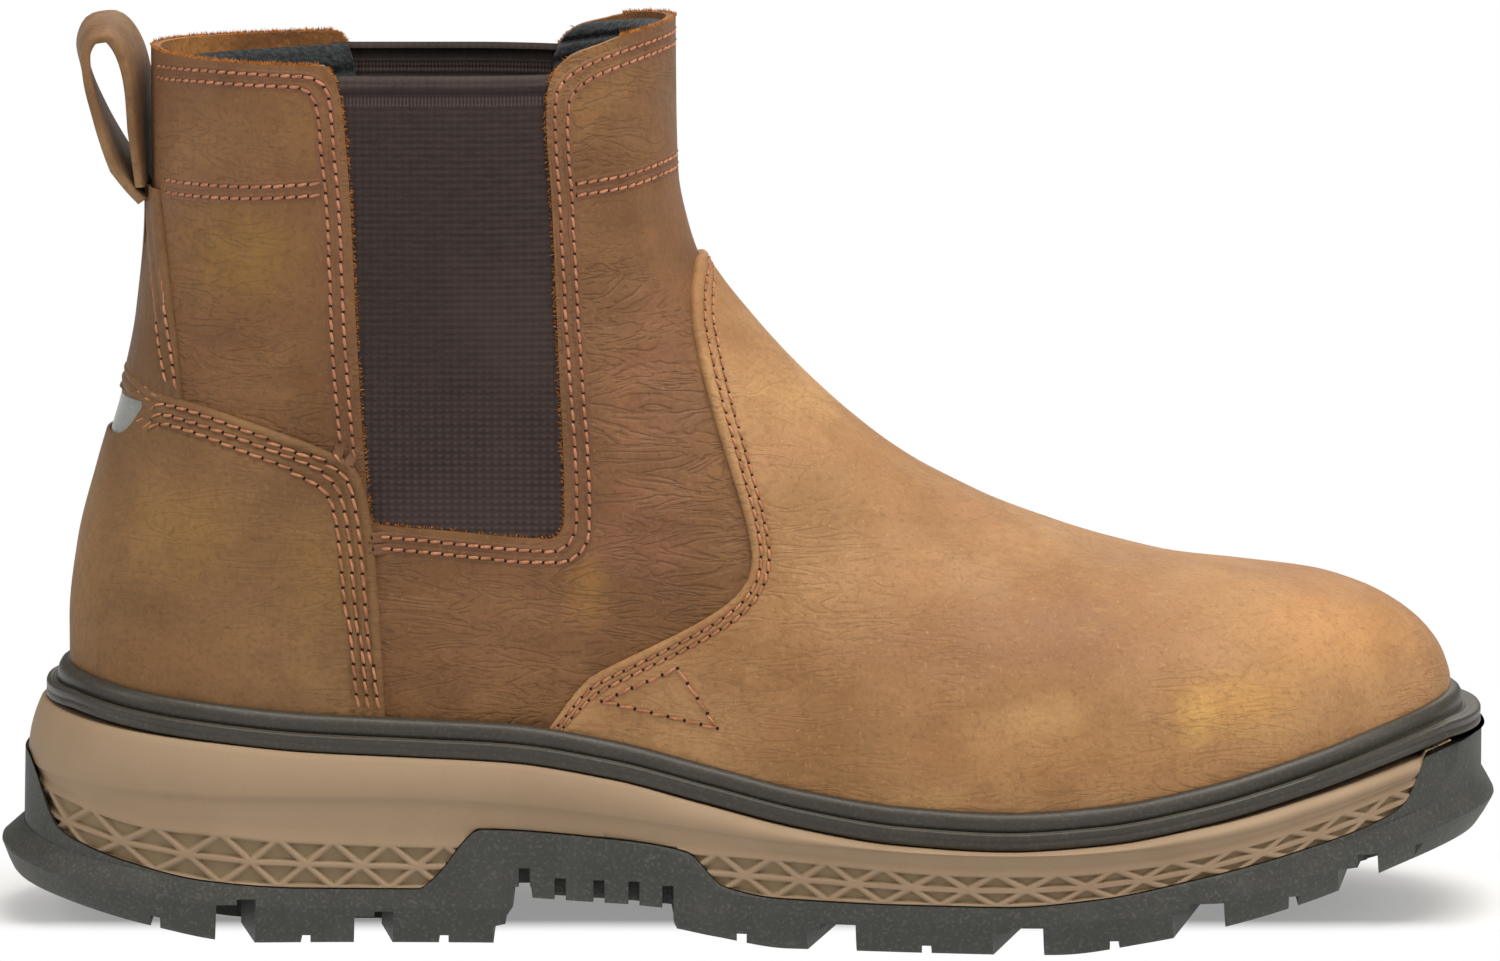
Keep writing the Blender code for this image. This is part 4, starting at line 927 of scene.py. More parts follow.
# Pull loop
# A leather strap 21 mm wide and 2 mm thick that rises from the backstay, folds over and is sewn
# back against the shaft, held open by its own stiffness.
LOOP_WIDTH = 21 * MM
LOOP_THICKNESS = 2.0 * MM
LOOP_PATH = (
    (0.0505, 0.7990), (0.0420, 0.8180), (0.0290, 0.8550), (0.0180, 0.8950), (0.0095, 0.9350),
    (0.0068, 0.9620), (0.0140, 0.9850), (0.0262, 0.9880), (0.0370, 0.9730), (0.0440, 0.9450),
    (0.0467, 0.9200), (0.0478, 0.8950), (0.0490, 0.8600), (0.0504, 0.8150),
)
LOOP_ROUND = 0.7 * MM
# Twist of the strap along its path: place and shift of its edges, in millimetres
LOOP_TWIST = ((0, 0.0), (10, -1.4), (24, 0.0), (44, 1.6), (75, 1.5), (89, 0.5))
path = even_curve(on_last(LOOP_PATH), 90)
lean = np.gradient(path, axis=0)
lean /= np.linalg.norm(lean, axis=1)[:, None]
out = np.stack([-lean[:, 1], lean[:, 0]], axis=1)
if np.sum(out * (path - path.mean(axis=0))) < 0:
    out = -out
profile = []
for corner_y, corner_n, start in ((1, 1, 0), (-1, 1, 90), (-1, -1, 180), (1, -1, 270)):
    for turn in (0, 30, 60, 90):
        angle = math.radians(start + turn)
        profile.append((corner_y * (LOOP_WIDTH / 2 - LOOP_ROUND) + LOOP_ROUND * math.cos(angle),
                        corner_n * (LOOP_THICKNESS / 2 - LOOP_ROUND) + LOOP_ROUND * math.sin(angle)))
loop_verts = []
for k, (point, side_way) in enumerate(zip(path, out)):
    twist = np.interp(k, *np.array(LOOP_TWIST).T) * MM
    for y, n in profile:
        crown = 0.35 * MM * (1 - (2 * y / LOOP_WIDTH) ** 2)
        away = n + crown + twist * y / (LOOP_WIDTH / 2)
        loop_verts.append((point[0] + side_way[0] * away, y, point[1] + side_way[1] * away))
m = len(profile)
faces = [(k * m + i, k * m + (i + 1) % m, (k + 1) * m + (i + 1) % m, (k + 1) * m + i)
         for k in range(len(path) - 1) for i in range(m)]
faces += [tuple(range(m)), tuple(range(len(loop_verts) - m, len(loop_verts)))]
STRAP_LEATHER = leather(
    "strap_leather", srgb(134, 100, 66), srgb(110, 78, 50), srgb(156, 124, 90), srgb(132, 92, 60))
loop = mesh_piece("leather_pull_loop", loop_verts, faces, [STRAP_LEATHER], smooth_angle=50)
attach(loop, "root")
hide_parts("pull_loop")

# Stitching
# Waxed copper thread in lockstitch along every seam. Each stitch is a plump slanted length of
# thread that dives into a needle hole at both ends and draws the leather into a channel. Each hole
# is a small dark disc of painted shade laid on the leather.
THREAD = 0.31 * MM
VAMP_STITCH = 2.6
# Seams drawn in side view on both sides of the boot: length of a stitch, whether it presses its
# own channel, and its course, in millimetres
SEAMS = (
    (2.6, True, (
        (-123.0, 178.7), (-112.0, 179.2), (-91.6, 179.0), (-88.2, 177.9), (-86.2, 175.0), (-85.2, 165.0),
        (-84.2, 153.7), (-82.9, 122.8), (-81.2, 99.4))),
    (2.6, True, (
        (-123.2, 176.3), (-112.0, 176.9), (-93.5, 176.8), (-90.6, 175.8), (-88.8, 172.6), (-87.7, 163.0),
        (-86.8, 153.7), (-85.5, 122.8), (-83.9, 100.6))),
    (2.6, True, (
        (-76.4, 83.7), (-61.5, 82.4), (-45.0, 81.0), (-40.6, 80.9), (-37.3, 82.6), (-35.6, 86.6),
        (-35.5, 91.7), (-36.7, 122.8), (-38.0, 153.7), (-38.9, 170.0), (-38.6, 174.6), (-36.6, 177.9),
        (-32.6, 180.4), (-26.0, 182.6), (-14.9, 185.2))),
    (2.6, True, (
        (-76.2, 81.3), (-61.5, 80.0), (-45.0, 78.6), (-39.2, 78.7), (-35.1, 80.6), (-33.0, 85.0),
        (-32.9, 91.7), (-34.1, 122.8), (-35.4, 153.7), (-36.3, 168.0), (-36.0, 172.6), (-34.2, 175.8),
        (-30.6, 178.2), (-25.0, 180.1), (-15.0, 182.7))),
    (2.7, True, ((-121.6, 155.4), (-104.0, 155.8), (-88.0, 157.0))),
    (2.7, True, ((-121.4, 152.9), (-104.0, 153.4), (-88.0, 154.6))),
    (2.7, True, ((-34.4, 156.4), (-24.0, 157.4), (-14.5, 159.4))),
    (2.7, True, ((-34.4, 154.0), (-24.0, 155.0), (-14.5, 157.0))),
    (2.7, False, ((-123.9, 150.5), (-122.0, 138.3), (-120.0, 123.6), (-118.4, 113.2))),
    (2.7, False, ((-125.7, 149.0), (-124.2, 138.3), (-122.3, 123.6), (-120.6, 114.2))),
    (3.0, False, ((-131.0, 114.0), (-127.6, 113.8), (-124.6, 112.3), (-121.9, 110.9))),
    (3.0, False, ((-130.9, 112.0), (-127.9, 111.9), (-125.6, 110.9), (-123.6, 109.8))),
    (3.2, False, (
        (-133.8, 99.7), (-131.9, 100.3), (-129.8, 101.4), (-127.6, 103.5), (-125.7, 106.0), (-124.1, 108.0),
        (-122.8, 109.3), (-120.9, 109.8), (-116.7, 109.3), (-111.0, 107.8), (-104.9, 105.8), (-98.6, 103.7),
        (-91.9, 101.2), (-88.4, 99.8), (-85.4, 98.3), (-83.5, 97.0), (-82.2, 95.2), (-81.5, 93.2),
        (-80.9, 90.6), (-80.4, 87.4), (-79.7, 81.0), (-79.1, 73.8), (-78.2, 62.0), (-77.3, 53.1),
        (-76.6, 47.4))),
    (3.2, False, (
        (-134.0, 97.8), (-131.8, 98.9), (-129.7, 100.1), (-126.9, 102.0), (-124.8, 104.4), (-123.5, 106.4),
        (-121.9, 107.6), (-119.8, 107.7), (-116.7, 107.1), (-110.0, 105.5), (-103.9, 103.5), (-97.9, 101.3),
        (-90.9, 98.6), (-87.6, 97.0), (-85.6, 95.3), (-84.3, 93.3), (-83.4, 90.8), (-82.7, 87.4),
        (-81.9, 81.0), (-81.1, 72.6), (-80.2, 62.0), (-79.3, 53.1), (-78.7, 47.6))),
    (3.2, False, (
        (-134.5, 96.1), (-131.4, 97.0), (-129.4, 98.2), (-127.5, 100.1), (-125.6, 102.2), (-124.0, 104.2),
        (-122.4, 105.5), (-120.3, 105.9), (-117.7, 105.5), (-111.5, 103.9), (-105.9, 101.9), (-99.4, 99.6),
        (-93.9, 97.4), (-89.6, 95.2), (-87.4, 93.4), (-86.0, 91.2), (-85.0, 88.2), (-84.4, 85.0),
        (-83.6, 77.0), (-82.9, 69.0), (-82.0, 60.0), (-81.2, 51.4), (-80.7, 47.8))),
    (3.6, False, ((-30.4, 50.0), (-14.8, 57.2))),
    (3.6, False, ((-14.8, 57.2), (-6.6, 44.8))),
    (3.6, False, ((-6.6, 44.8), (-30.4, 50.0))),
)
# Channel across a row of stitches: distance from the row and height over the leather, in millimetres
CHANNEL = ((-1.15, -0.35), (-1.12, -0.03), (-0.80, 0.13), (-0.45, 0.11), (-0.18, 0.03),
           (0.18, 0.03), (0.45, 0.11), (0.80, 0.13), (1.12, -0.03), (1.15, -0.35))
# A stitch from end to end: place along it, plumpness and rise, in shares
STITCH = ((-1, 0.35, -0.45), (-0.78, 0.85, 0.05), (-0.3, 1.08, 0.35), (0.25, 1.1, 0.37),
          (0.75, 0.85, 0.06), (1, 0.35, -0.45))
thread_verts, thread_faces, hole_verts, hole_faces, channel_verts, channel_faces = [], [], [], [], [], []
outer_trees = []
for obj in (hull, vamp, counter, strip):
    outer_trees.append(BVHTree.FromPolygons(
        [v.co.copy() for v in obj.data.vertices], [tuple(p.vertices) for p in obj.data.polygons]))


def touch(point):
    """Outermost leather next to a point just off the boot: place and outward direction."""
    best = None
    for tree in outer_trees:
        place, normal, _, far = tree.find_nearest(point)
        if place is not None and (best is None or far < best[2]):
            best = (place, normal, far)
    place, normal, _ = best
    return place, normal if (point - place).dot(normal) > 0 else -normal


def press(run, line, holes):
    """Channel drawn into the leather along a row, deepest at the needle holes."""
    marks = np.linspace(0, run[-1], max(6, int(run[-1] / (0.6 * MM))))
    spots = np.stack([np.interp(marks, run, line[:, k]) for k in range(3)], axis=1)
    touched = [touch(Vector(spot)) for spot in spots]
    places = np.array([place for place, _ in touched])
    normals = np.array([normal for _, normal in touched])
    for _ in range(4):
        normals[1:-1] = normals[:-2] + 2 * normals[1:-1] + normals[2:]
        normals /= np.linalg.norm(normals, axis=1)[:, None]
    toward = np.gradient(places, axis=0)
    across = np.cross(normals, toward)
    across /= np.linalg.norm(across, axis=1)[:, None]
    dip = 1 - 0.55 * np.exp(-(np.abs(marks[:, None] - holes).min(axis=1) / (0.5 * MM)) ** 2)
    start, m = len(channel_verts), len(CHANNEL)
    for place, normal, side_way, rise in zip(places, normals, across, dip):
        for away, height in CHANNEL:
            height *= rise if height > 0 else 1.0
            channel_verts.append(place + side_way * away * MM + normal * height * MM)
    for k in range(len(marks) - 1):
        a = start + k * m
        channel_faces.extend((a + i, a + (i + 1) % m, a + m + (i + 1) % m, a + m + i) for i in range(m))
    channel_faces.append(tuple(range(start, start + m)))
    channel_faces.append(tuple(range(len(channel_verts) - 1, len(channel_verts) - 1 - m, -1)))


def sew(line, length, channelled):
    """One row of stitches along a line of points held a little off the leather."""
    run = np.concatenate([[0], np.cumsum(np.linalg.norm(np.diff(line, axis=0), axis=1))])
    count = max(2, int(round(run[-1] / (length * MM))))
    marks = np.linspace(0, run[-1], 2 * count + 1)
    spots = np.stack([np.interp(marks, run, line[:, k]) for k in range(3)], axis=1)
    lift = (0.05 if channelled else 0.10) * MM
    if channelled:
        press(run, line, marks[::2])
    for k in range(count):
        place, normal = touch(Vector(spots[2 * k + 1]))
        place = place + normal * lift
        toward = Vector(spots[2 * k + 2] - spots[2 * k])
        reach = 0.46 * toward.length
        toward = (toward - normal * toward.dot(normal)).normalized()
        across = normal.cross(toward)
        toward, across = (toward + across * 0.13).normalized(), (across - toward * 0.13).normalized()
        start = len(thread_verts)
        for at, plump, rise in STITCH:
            for turn in range(6):
                angle = math.pi * turn / 3
                spread = across * math.cos(angle) + normal * (0.9 * math.sin(angle))
                thread_verts.append(place + toward * (at * reach) + (spread * plump + normal * rise) * THREAD)
        for level in range(5):
            for turn in range(6):
                a, b = start + level * 6 + turn, start + level * 6 + (turn + 1) % 6
                thread_faces.append((a, b, b + 6, a + 6))
        thread_faces.append(tuple(start + turn for turn in range(5, -1, -1)))
        thread_faces.append(tuple(start + 30 + turn for turn in range(6)))
        # The needle hole is a small dark disc on the leather: painted shade standing in for the hole's depth.
        hole, hole_normal = touch(Vector(spots[2 * k]))
        hole = hole + hole_normal * lift
        start = len(hole_verts)
        for size, rise in ((1.0, -0.10), (0.8, 0.05), (0.35, 0.07)):
            for turn in range(8):
                angle = math.pi * turn / 4
                hole_verts.append(hole + toward * (math.cos(angle) * 0.36 * MM * size)
                                  + across * (math.sin(angle) * 0.44 * MM * size) + hole_normal * rise * MM)
        for low in (start, start + 8):
            hole_faces.extend((low + turn, low + (turn + 1) % 8, low + 8 + (turn + 1) % 8, low + 8 + turn)
                              for turn in range(8))
        hole_faces.append(tuple(start + 16 + turn for turn in range(8)))


for length, channelled, course in SEAMS:
    flat = even_curve(course, 600) * MM
    ridge = np.interp(flat[:, 1], FRONT_CURVE[:, 1], FRONT_CURVE[:, 0])
    back = np.interp(flat[:, 1], BACK_CURVE[:, 1], BACK_CURVE[:, 0])
    flat[:, 0] = np.clip(flat[:, 0], back + 0.3 * MM, np.where(flat[:, 1] > 0.12, ridge - 0.02 * MM, 1.0))
    mid, half = middle(flat[:, 0], flat[:, 1]), half_width(flat[:, 0], flat[:, 1])
    for side in (-1, 1):
        sew(np.stack([flat[:, 0], mid + side * (half + 2.5 * MM), flat[:, 1]], axis=1), length, channelled)
for seam in seams:
    sew(seam, VAMP_STITCH, False)
t = Tree("copper_thread")
twist = t.waves(420.0, t.moved((1, 1, 1), (0.5, 0.6, 0.4)))
THREAD_MATERIAL = t.done(
    t.mix(t.span(t.noise(300, 3, 0.6), 0.35, 0.65), srgb(186, 128, 94), srgb(150, 98, 68)),
    0.6, t.bump(twist, 0.1 * MM, 0.6), Specular_IOR_Level=0.3)
threads = mesh_piece(
    "seam_threads", thread_verts, thread_faces, [THREAD_MATERIAL], smooth_angle=80, outward=False)
# Painted shade: the needle holes' dark colour stands in for the shade inside them.
HOLE_SHADE = Tree("needle_hole_shade").done(srgb(50, 31, 22), 0.95, Specular_IOR_Level=0.1)
holes = mesh_piece("needle_hole_shade_discs", hole_verts, hole_faces, [HOLE_SHADE], smooth_angle=80, outward=False)
channels = mesh_piece("seam_channels", channel_verts, channel_faces, [
    leather("seam_leather", srgb(126, 86, 60), srgb(104, 70, 46), srgb(146, 104, 72), srgb(136, 90, 64))],
    smooth_angle=80, outward=False)
for piece in (threads, holes, channels):
    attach(piece, "root")

# Frayed edges
# Short orange-brown fibres of the leather's flesh side that stand out of the raw cut edges,
# round each gore and along the collar.
random.seed(7)
draw = random.uniform
FIBRES_A_POINT = 6
fibre_verts, fibre_faces = [], []


def fibre(root, way, length, width):
    side_way = way.cross(Vector([draw(-1, 1) for _ in range(3)])).normalized()
    bend = Vector([draw(-1, 1) for _ in range(3)]) * length * 0.35
    start = len(fibre_verts)
    for share, thick in ((0.0, 1.0), (0.55, 0.7)):
        centre = root + way * length * share + bend * share * share
        for turn in range(3):
            angle = 2 * math.pi * turn / 3
            spread = side_way * math.cos(angle) + way.cross(side_way) * math.sin(angle)
            fibre_verts.append(centre + spread * width * thick)
    fibre_verts.append(root + way * length + bend)
    for turn in range(3):
        a, b = start + turn, start + (turn + 1) % 3
        fibre_faces.append((a, b, b + 3, a + 3))
        fibre_faces.append((a + 3, b + 3, start + 6))
    fibre_faces.append((start + 2, start + 1, start))


collar_line = section([28.0], 220)[0]
notch = even_curve(np.array([p for p in NOTCH if 82 < p[1] < 184]), 700)[2:-2] * MM
notch = notch[notch[:, 1] <= np.interp(notch[:, 0], *collar_line[::-1].T) - 0.4 * MM]
run = np.concatenate([[0], np.cumsum(np.hypot(*np.diff(collar_line, axis=0).T))])
marks = np.linspace(0, run[-1], 640)
rim = np.stack([np.interp(marks, run, collar_line[:, k]) for k in (0, 1)], axis=1)
rim = rim[(rim[:, 0] <= -88.0 * MM) | (rim[:, 0] >= -26.5 * MM)]
for side in (-1, 1):
    for (x, z), half, mid in zip(notch, half_width(*notch.T), middle(*notch.T)):
        toward = Vector((-0.060 - x, 0, (0.130 - z) * 0.3)).normalized()
        if z < 86.5 * MM and -0.077 < x < -0.041:
            toward = Vector((0, 0, 1))
        for _ in range(FIBRES_A_POINT):
            depth = draw(0.2, 1.9) * MM
            root = Vector((x, mid + side * (half - depth), z))
            root += Vector((draw(-0.3, 0.3), 0, draw(-0.3, 0.3))) * MM
            way = toward + Vector((draw(-0.6, 0.6), side * draw(-0.2, 0.5), draw(-0.7, 0.7)))
            fibre(root, way.normalized(), draw(0.25, 1.0) * MM, draw(0.06, 0.13) * MM)
    for (x, z), half in zip(rim, half_width(*rim.T)):
        for _ in range(FIBRES_A_POINT):
            depth = draw(0.1, 1.9) * MM
            root = Vector((x, side * max(half - depth, 0.0), z - draw(0.0, 0.2) * MM))
            way = Vector((0, 0, 1)) + Vector([draw(-0.7, 0.7) for _ in range(3)])
            fibre(root, way.normalized(), draw(0.3, 1.0) * MM, draw(0.06, 0.13) * MM)
t = Tree("frayed_fibre")
FIBRE = t.done(t.mix(t.span(t.noise(500, 2, 0.5), 0.35, 0.65), srgb(186, 120, 56), srgb(148, 92, 44)), 0.9,
               Specular_IOR_Level=0.15)
fibres = mesh_piece("frayed_edges", fibre_verts, fibre_faces, [FIBRE], smooth_angle=80, outward=False)
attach(fibres, "root")

# Welt
# A dark brown rubber strip cemented round the upper: a round bead against the leather and a
# flat ledge outside it, with two fine lines moulded along the ledge.
SIDE_STEP = 10 * MM
SIDE_STEPS = (
    # place, welt, shelf, swell, truss, top, lip, foot
    (0.00, 0.68, 0.76, 1.06, 1.00, 1.18, 1.64, 1.42),
    (0.10, 0.66, 0.74, 0.98, 0.92, 1.02, 1.16, 0.96),
    (0.25, 0.64, 0.70, 0.88, 0.80, 0.88, 0.94, 0.78),
    (0.50, 0.62, 0.68, 0.84, 0.76, 0.84, 0.90, 0.76),
    (0.75, 0.64, 0.70, 0.86, 0.78, 0.86, 0.92, 0.76),
    (0.92, 0.72, 0.74, 0.84, 0.78, 0.84, 0.98, 0.76),
    (1.00, 0.82, 0.78, 0.84, 0.78, 0.84, 1.11, 0.79),
)


def outline(rise, steps, crowding=0.06):
    """Points and outward directions round the upper at a rise over the seat, from the heel
    along the lateral side to the toe and back along the medial side."""
    xs = HEEL_X + LAST_LENGTH * (1 - np.cos(np.linspace(0, math.pi, 1600))) / 2
    zs = seat(xs) + rise
    half, mid = half_width(xs, zs), middle(xs, zs)
    half[[0, -1]] = 0.0
    sides = []
    for side in (-1, 1):
        path = np.stack([xs, mid + side * half], axis=1)
        run = np.concatenate([[0], np.cumsum(np.linalg.norm(np.diff(path, axis=0), axis=1))])
        even = np.linspace(0, 1, steps + 1)
        even = run[-1] * (even - crowding * np.sin(2 * math.pi * even))
        sides.append(np.stack([np.interp(even, run, path[:, k]) for k in (0, 1)], axis=1))
    points = np.concatenate([sides[0], sides[1][-2:0:-1]])
    chord = np.roll(points, -1, axis=0) - np.roll(points, 1, axis=0)
    normals = np.stack([chord[:, 1], -chord[:, 0]], axis=1)
    for _ in range(6):
        normals = (np.roll(normals, 1, axis=0) + 2 * normals + np.roll(normals, -1, axis=0)) / 4
    return points, normals / np.linalg.norm(normals, axis=1)[:, None]


def step_out(x, index):
    return SIDE_STEP * smooth(SIDE_STEPS, index, (x - HEEL_X) / LAST_LENGTH)


def ring(base, offset, height):
    points, normals = base
    out = points + normals * np.broadcast_to(offset, len(points))[:, None]
    return np.column_stack([out, np.broadcast_to(height(out[:, 0]), len(points))])


def ring_faces(n, levels, capped):
    """Faces through rings of n points: capped by strips, or closed on themselves."""
    faces = []
    for level in range(levels - 1 if capped else levels):
        low, high = level * n, (level + 1) % levels * n
        faces += [(low + i, high + i, high + (i + 1) % n, low + (i + 1) % n) for i in range(n)]
    for start in (0, (levels - 1) * n) if capped else ():
        half = start + n // 2
        faces += [(start, start + 1, start + n - 1), (half - 1, half, half + 1)]
        faces += [(start + i, start + i + 1, start + n - i - 1, start + n - i) for i in range(1, n // 2 - 1)]
    return faces


def looped(name, rings, material, capped=True, smooth_angle=40):
    """Closed body through rings of equal count."""
    faces = ring_faces(len(rings[0]), len(rings), capped)
    return mesh_piece(name, np.concatenate(rings), faces, [material], smooth_angle)


def rubber(name, main, dust, grain, rough):
    t = Tree(name)
    colour = t.mix(t.span(t.noise(90, 5, 0.65), 0.42, 0.75, 0.0, 0.22), main, dust)
    colour = t.mix(t.span(t.noise(1300, 2, 0.5), 0.50, 0.72, 0.0, 0.55), colour, dust)
    normal = t.bump(t.noise(240, 4, 0.6), 0.06 * MM, 0.5, t.bump(t.cells(1150.0), grain, 0.8))
    return t.done(colour, rough, normal, Specular_IOR_Level=0.4)


WELT_RUBBER = rubber("welt_rubber", srgb(58, 53, 46), srgb(80, 73, 64), 0.03 * MM, 0.42)
low_wall, high_wall = outline(0.0, 230), outline(WELT_HEIGHT, 230)
# Bead from inside out: offset from the leather and height over the seat, in millimetres
BEAD = ((0.55, 0.3), (0.55, 5.5), (0.55, 7.2), (1.2, 7.62), (2.2, 7.72), (3.1, 7.5), (3.75, 7.0),
        (4.15, 6.3), (4.38, 5.5), (4.42, 4.6), (4.36, 4.05))
# Ledge: place between bead and rim, and height over the seat, in millimetres
LEDGE = ((0.03, 3.62), (0.12, 3.60), (0.20, 3.72), (0.30, 3.84), (0.40, 3.74), (0.47, 3.60), (0.56, 3.72),
         (0.66, 3.84), (0.76, 3.72), (0.84, 3.66), (0.95, 3.55), (1.0, 3.25), (1.0, 2.3), (0.93, 2.05),
         (0.93, 1.8), (1.0, 1.55), (1.0, 0.5), (0.9, 0.3))
edge_at = step_out(low_wall[0][:, 0], 1)
welt_rings = []
for offset, rise in BEAD:
    share = min(1.0, rise / 7.7)
    base = (low_wall[0] * (1 - share) + high_wall[0] * share, low_wall[1])
    welt_rings.append(ring(base, offset * MM, lambda x, rise=rise: seat(x) + rise * MM))
for share, rise in LEDGE:
    offset = 4.3 * MM * (1 - share) + edge_at * share
    welt_rings.append(ring(low_wall, offset, lambda x, rise=rise: seat(x) + rise * MM))
welt = looped("rubber_welt", welt_rings, WELT_RUBBER, capped=False, smooth_angle=50)
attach(welt, "root")
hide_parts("welt")

# Midsole
# Tan foam: a smooth swollen band that overhangs a recessed band of crossed ribs, moulded as a
# row of trusses with one rib along their middle.
SIDE_LINES = (
    # place, swell, truss top, truss foot, lip, ground
    (0.000, 0.660, 0.650, 0.480, 0.363, 0.284), (0.030, 0.640, 0.610, 0.430, 0.340, 0.225),
    (0.070, 0.600, 0.530, 0.335, 0.250, 0.150), (0.112, 0.580, 0.455, 0.280, 0.190, 0.070),
    (0.160, 0.568, 0.425, 0.226, 0.150, 0.006), (0.180, 0.566, 0.410, 0.218, 0.145, 0.000),
    (0.282, 0.560, 0.385, 0.209, 0.140, 0.000), (0.350, 0.540, 0.380, 0.209, 0.140, 0.000),
    (0.440, 0.480, 0.372, 0.209, 0.140, 0.075), (0.480, 0.450, 0.368, 0.205, 0.140, 0.040),
    (0.530, 0.415, 0.352, 0.192, 0.135, 0.000), (0.650, 0.385, 0.314, 0.183, 0.125, 0.000),
    (0.700, 0.388, 0.318, 0.196, 0.128, 0.000), (0.760, 0.412, 0.350, 0.238, 0.160, 0.045),
    (0.820, 0.470, 0.420, 0.318, 0.225, 0.118), (0.862, 0.530, 0.485, 0.378, 0.285, 0.180),
    (0.920, 0.620, 0.585, 0.475, 0.390, 0.285), (0.960, 0.670, 0.640, 0.545, 0.450, 0.340),
    (1.000, 0.700, 0.680, 0.580, 0.480, 0.376),
)
PARTING = (
    # place, height
    (-0.050, 0.660), (0.018, 0.655), (0.042, 0.400), (0.060, 0.352), (0.095, 0.296), (0.140, 0.242),
    (0.205, 0.212), (0.282, 0.209), (0.2945, 0.262), (0.315, 0.412), (0.3225, 0.444), (0.409, 0.412),
    (0.459, 0.366), (0.4835, 0.235), (0.520, 0.194), (0.600, 0.183), (0.665, 0.183), (0.730, 0.215),
    (0.795, 0.290), (0.862, 0.375), (0.920, 0.470), (0.934, 0.520), (0.955, 0.780), (1.050, 0.900),
)
TRUSS_CELL = 11.5 * MM
RIB_WIDTH = 0.62 * MM
RIB_HEIGHT = 1.15 * MM
BAND_ROWS = 34
SIDE_STATIONS = 640


def side_line(index, x):
    return HEEL_STACK * smooth(SIDE_LINES, index, (x - SOLE_START) / SOLE_LENGTH)


def parting(x):
    return HEEL_STACK * smooth(PARTING, 1, (x - SOLE_START) / SOLE_LENGTH)


def foam():
    t = Tree("tan_foam")
    colour = t.mix(t.span(t.noise(34, 4, 0.6), 0.4, 0.7, 0.0, 0.6), srgb(154, 130, 104), srgb(142, 118, 93))
    pit = t.node("ShaderNodeAttribute", {}, attribute_name="pit").outputs["Fac"]
    # Painted shade: the truss pits are coloured darker, as shade falls in them.
    colour = t.mix(t.math("MULTIPLY", pit, 0.8), colour, srgb(134, 115, 86))
    colour = t.mix(t.span(t.noise(800, 3, 0.6), 0.58, 0.8, 0.0, 0.25), colour, srgb(120, 98, 76))
    pores = t.noise(1800, 2, 0.5)
    return t.done(colour, 0.62, t.bump(pores, 0.05 * MM, 0.6), Specular_IOR_Level=0.3)


side_ring = outline(0.0, SIDE_STATIONS, 0.03)
side_xs = side_ring[0][:, 0]
run = np.concatenate([[0], np.cumsum(np.linalg.norm(np.diff(side_ring[0], axis=0), axis=1))])
around = np.where(np.arange(len(run)) <= SIDE_STATIONS, run, 2 * run[SIDE_STATIONS] - run)
cell = around / TRUSS_CELL
truss_out = step_out(side_xs, 4)
midsole_rings, pit_shades = [], []


def add_ring(offset, z, pit=0.0):
    points = side_ring[0] + side_ring[1] * np.broadcast_to(offset, len(side_xs))[:, None]
    low = parting(points[:, 0]) + 0.3 * MM
    midsole_rings.append(np.column_stack([points, np.minimum(np.maximum(z, low), seat(points[:, 0]))]))
    pit_shades.append(np.broadcast_to(pit, len(side_xs)))


shelf, swell = step_out(side_xs, 2), step_out(side_xs, 3)
z_seat = seat(side_xs)
z_swell, z_top, z_foot = (side_line(index, side_xs) for index in (1, 2, 3))
add_ring(shelf - 1.2 * MM, z_seat)
for share in (0.0, 0.06, 0.14, 0.26, 0.40, 0.55, 0.70, 0.82, 0.91, 0.97):
    bulge = 0.9 * MM * math.sin(math.pi * share) ** 0.8
    under = 0.35 * MM if share == 0 else 0
    add_ring(shelf + (swell - shelf) * share + bulge - under, z_seat + (z_swell - z_seat) * share)
add_ring(swell - 0.1 * MM, z_swell)
add_ring(swell - 0.55 * MM, z_swell - 0.45 * MM)
for share in (0.2, 0.45, 0.7, 0.9):
    add_ring(swell - 0.55 * MM + (truss_out - 0.35 * MM - swell + 0.55 * MM) * share,
             z_swell - 0.45 * MM + (z_top + 0.75 * MM - z_swell + 0.45 * MM) * share)
for row in range(BAND_ROWS + 1):
    tall = 1 - 2 * row / BAND_ROWS
    z = (z_top + z_foot) / 2 + tall * (z_top - z_foot) / 2
    half_band = np.maximum((z_top - z_foot) / 2, 1.0 * MM)
    tri = np.abs(cell - np.round(cell))
    slope = half_band / (TRUSS_CELL / 2)
    far = np.abs(abs(tall) * half_band - 2 * tri * half_band) / np.sqrt(1 + slope**2)
    far = np.minimum(far, abs(tall) * half_band)
    far = np.minimum(far, (1 - abs(tall)) * half_band * 0.8)
    pit = ease((far - RIB_WIDTH * 0.62) / (RIB_WIDTH * 0.9))
    add_ring(truss_out + 0.2 * MM - RIB_HEIGHT * pit, z, pit)
add_ring(truss_out - 0.6 * MM, z_foot - 0.5 * MM)
faces = ring_faces(len(side_xs), len(midsole_rings), capped=True)
mesh = bpy.data.meshes.new("foam_midsole")
mesh.from_pydata([tuple(map(float, p)) for p in np.concatenate(midsole_rings)], [], faces)
# The pit shares are stored for the material, which paints shade into the pits.
pit_values = mesh.attributes.new("pit", "FLOAT", "POINT").data
pit_values.foreach_set("value", np.concatenate(pit_shades).astype(np.float32))
mesh.materials.append(foam())
shape = bmesh.new()
shape.from_mesh(mesh)
bmesh.ops.remove_doubles(shape, verts=shape.verts, dist=2e-6)
bmesh.ops.recalc_face_normals(shape, faces=shape.faces)
shape.to_mesh(mesh)
shape.free()
midsole = bpy.data.objects.new("foam_midsole", mesh)
bpy.context.scene.collection.objects.link(midsole)
shade(midsole, 50)
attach(midsole, "root")
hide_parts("midsole")

